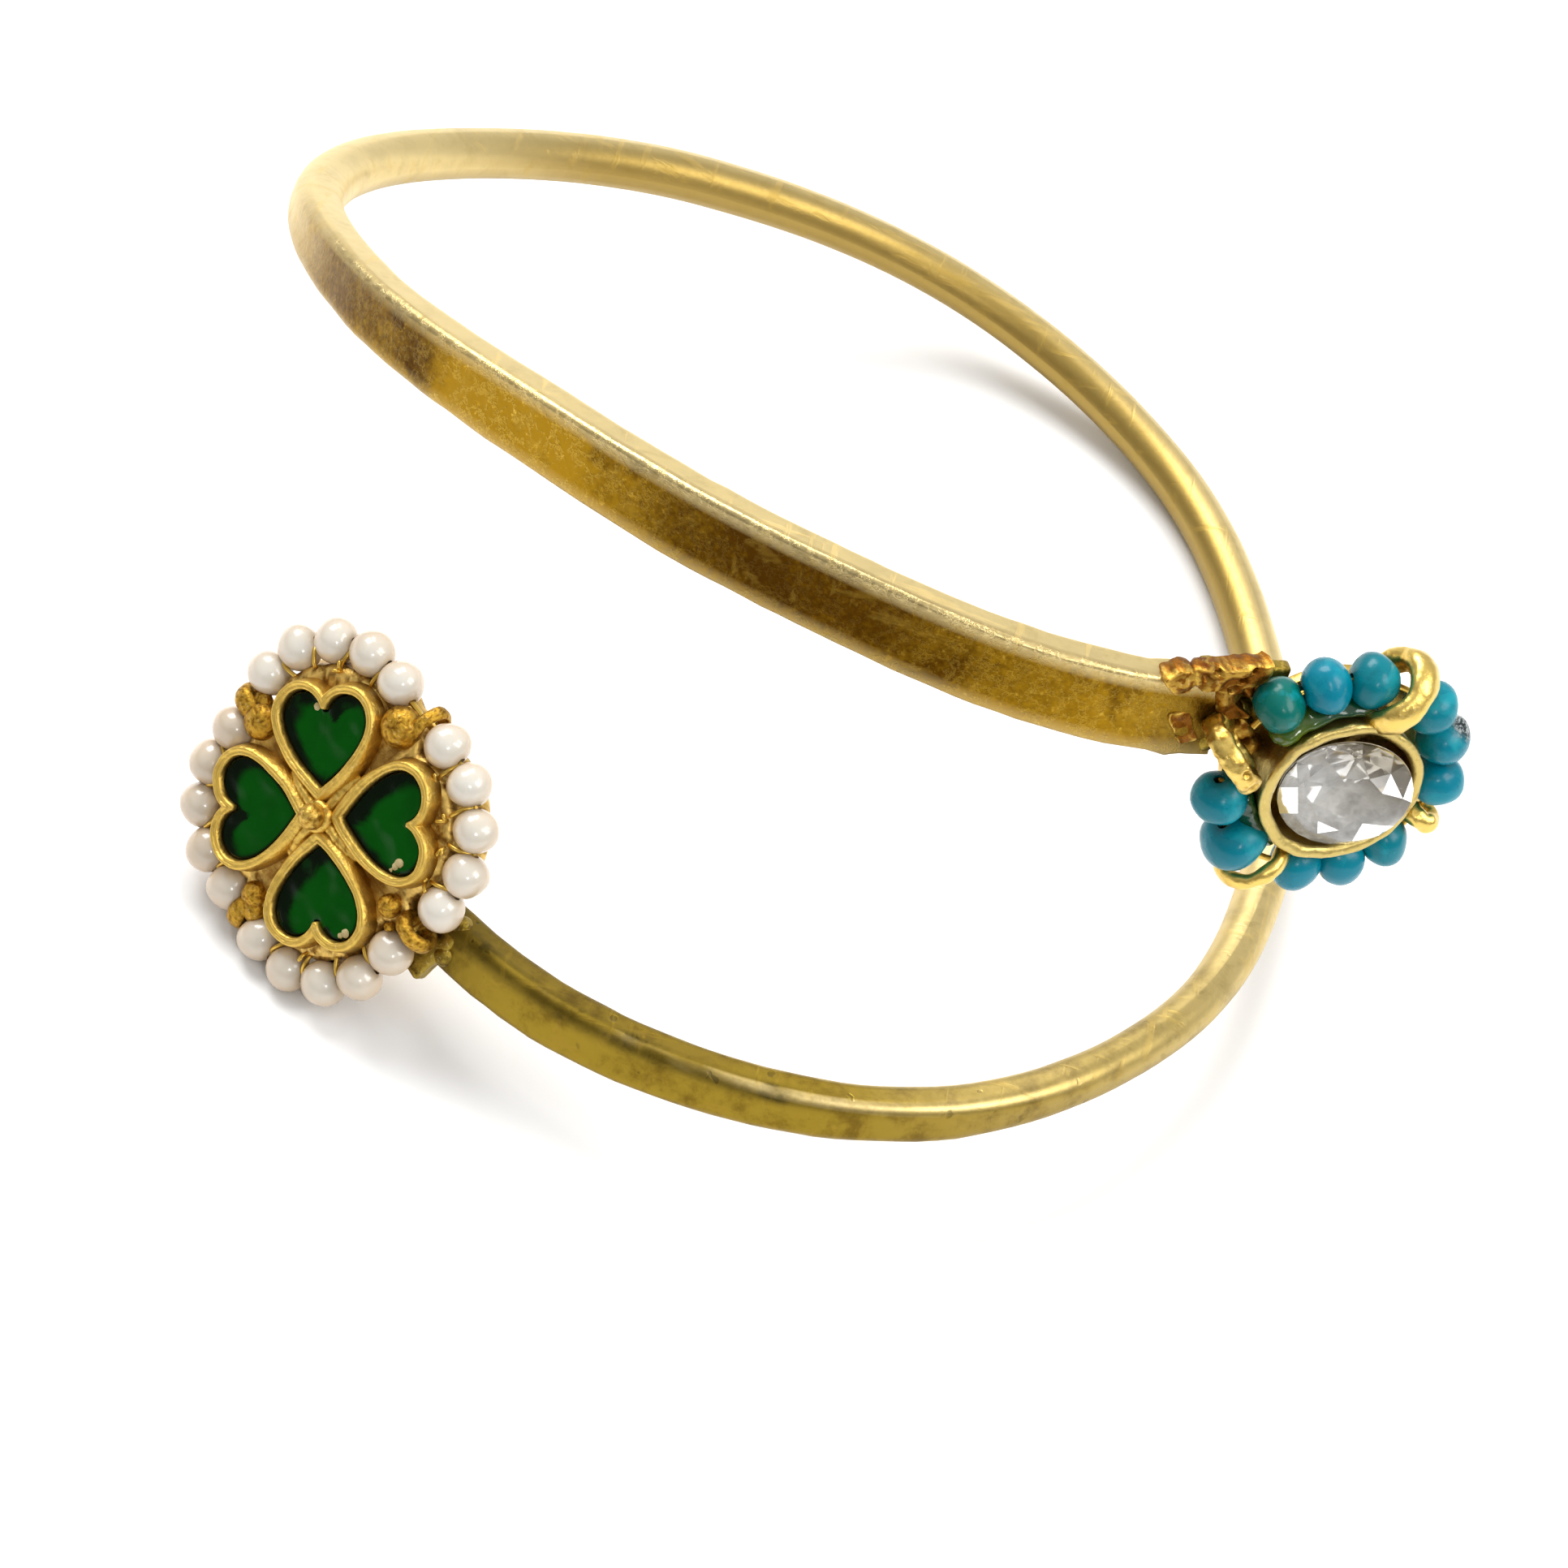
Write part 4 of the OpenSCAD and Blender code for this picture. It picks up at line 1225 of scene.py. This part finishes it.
def makeFoil():
    bm = bmesh.new()
    rings = [[polar(7.5 * i, share * crystal["radius"], height) for i in range(48)]
             for share, height in crystal["foil"]]
    loft(bm, rings, capEnd=True)
    bmesh.ops.solidify(bm, geom=bm.faces, thickness=0.03)
    # painted golden reflection of the cup on one side
    setMark(bm, "cupReflection", lambda v: smoothstep(0.5, 2.1, v.co.x * 0.75 + v.co.y * 0.66))
    return finishPiece("crystalFoil", bm, crystalMatrix, makeFoilLook(), angle=75)


for piece in (makeStone(), makeFoil()):
    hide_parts("crystal")
print("stage: crystal")


def makeFloor():
    bm = bmesh.new()
    bmesh.ops.create_grid(bm, x_segments=1, y_segments=1, size=3.0)
    mesh = bpy.data.meshes.new("floor")
    bm.to_mesh(mesh)
    bm.free()
    floor = bpy.data.objects.new("floor", mesh)
    scene.collection.objects.link(floor)
    material, shader = newMaterial("floorPale")[:2]
    setInputs(shader, Base_Color=(0.90, 0.90, 0.90, 1), Roughness=0.85)
    mesh.materials.append(material)


lightAim = Vector((0, 0, 0.02))


def addLight(name, place, size, power):
    data = bpy.data.lights.new(name, "AREA")
    data.shape = "RECTANGLE"
    data.size, data.size_y = size
    data.energy = power
    lamp = bpy.data.objects.new(name, data)
    lamp.location = place
    lamp.rotation_euler = (lightAim - Vector(place)).to_track_quat("-Z", "Y").to_euler()
    scene.collection.objects.link(lamp)


def makeWorld():
    # bright above and behind, darker below and in front
    world = bpy.data.worlds.new("studio")
    world.use_nodes = True
    tree = world.node_tree
    way = tree.nodes.new("ShaderNodeTexCoord").outputs["Generated"]
    split = addNode(tree, "ShaderNodeSeparateXYZ", None, Vector=way).outputs
    color = painted((0.30, 0.28, 0.26), (rangeNode(split["Z"], -0.05, 0.75), (1.0, 1.0, 1.0)),
                    (times(rangeNode(split["Y"], -0.3, -0.9), 0.6), (0.22, 0.20, 0.18)),
                    (times(rangeNode(split["Y"], 0.1, 0.7), 0.8), (1.0, 1.0, 1.0)))
    setInputs(tree.nodes["Background"], Color=color, Strength=0.72)
    scene.world = world


scene.view_settings.view_transform = "Standard"
makeFloor()
makeWorld()
addLight("keyLight", (-0.25, 0.35, 0.6), (0.5, 0.35), 5.2)
addLight("fillLight", (0.45, -0.1, 0.45), (0.35, 0.35), 2.2)
addLight("frontLight", (0.10, -0.34, 0.30), (0.07, 0.07), 0.28)
print("stage: light")
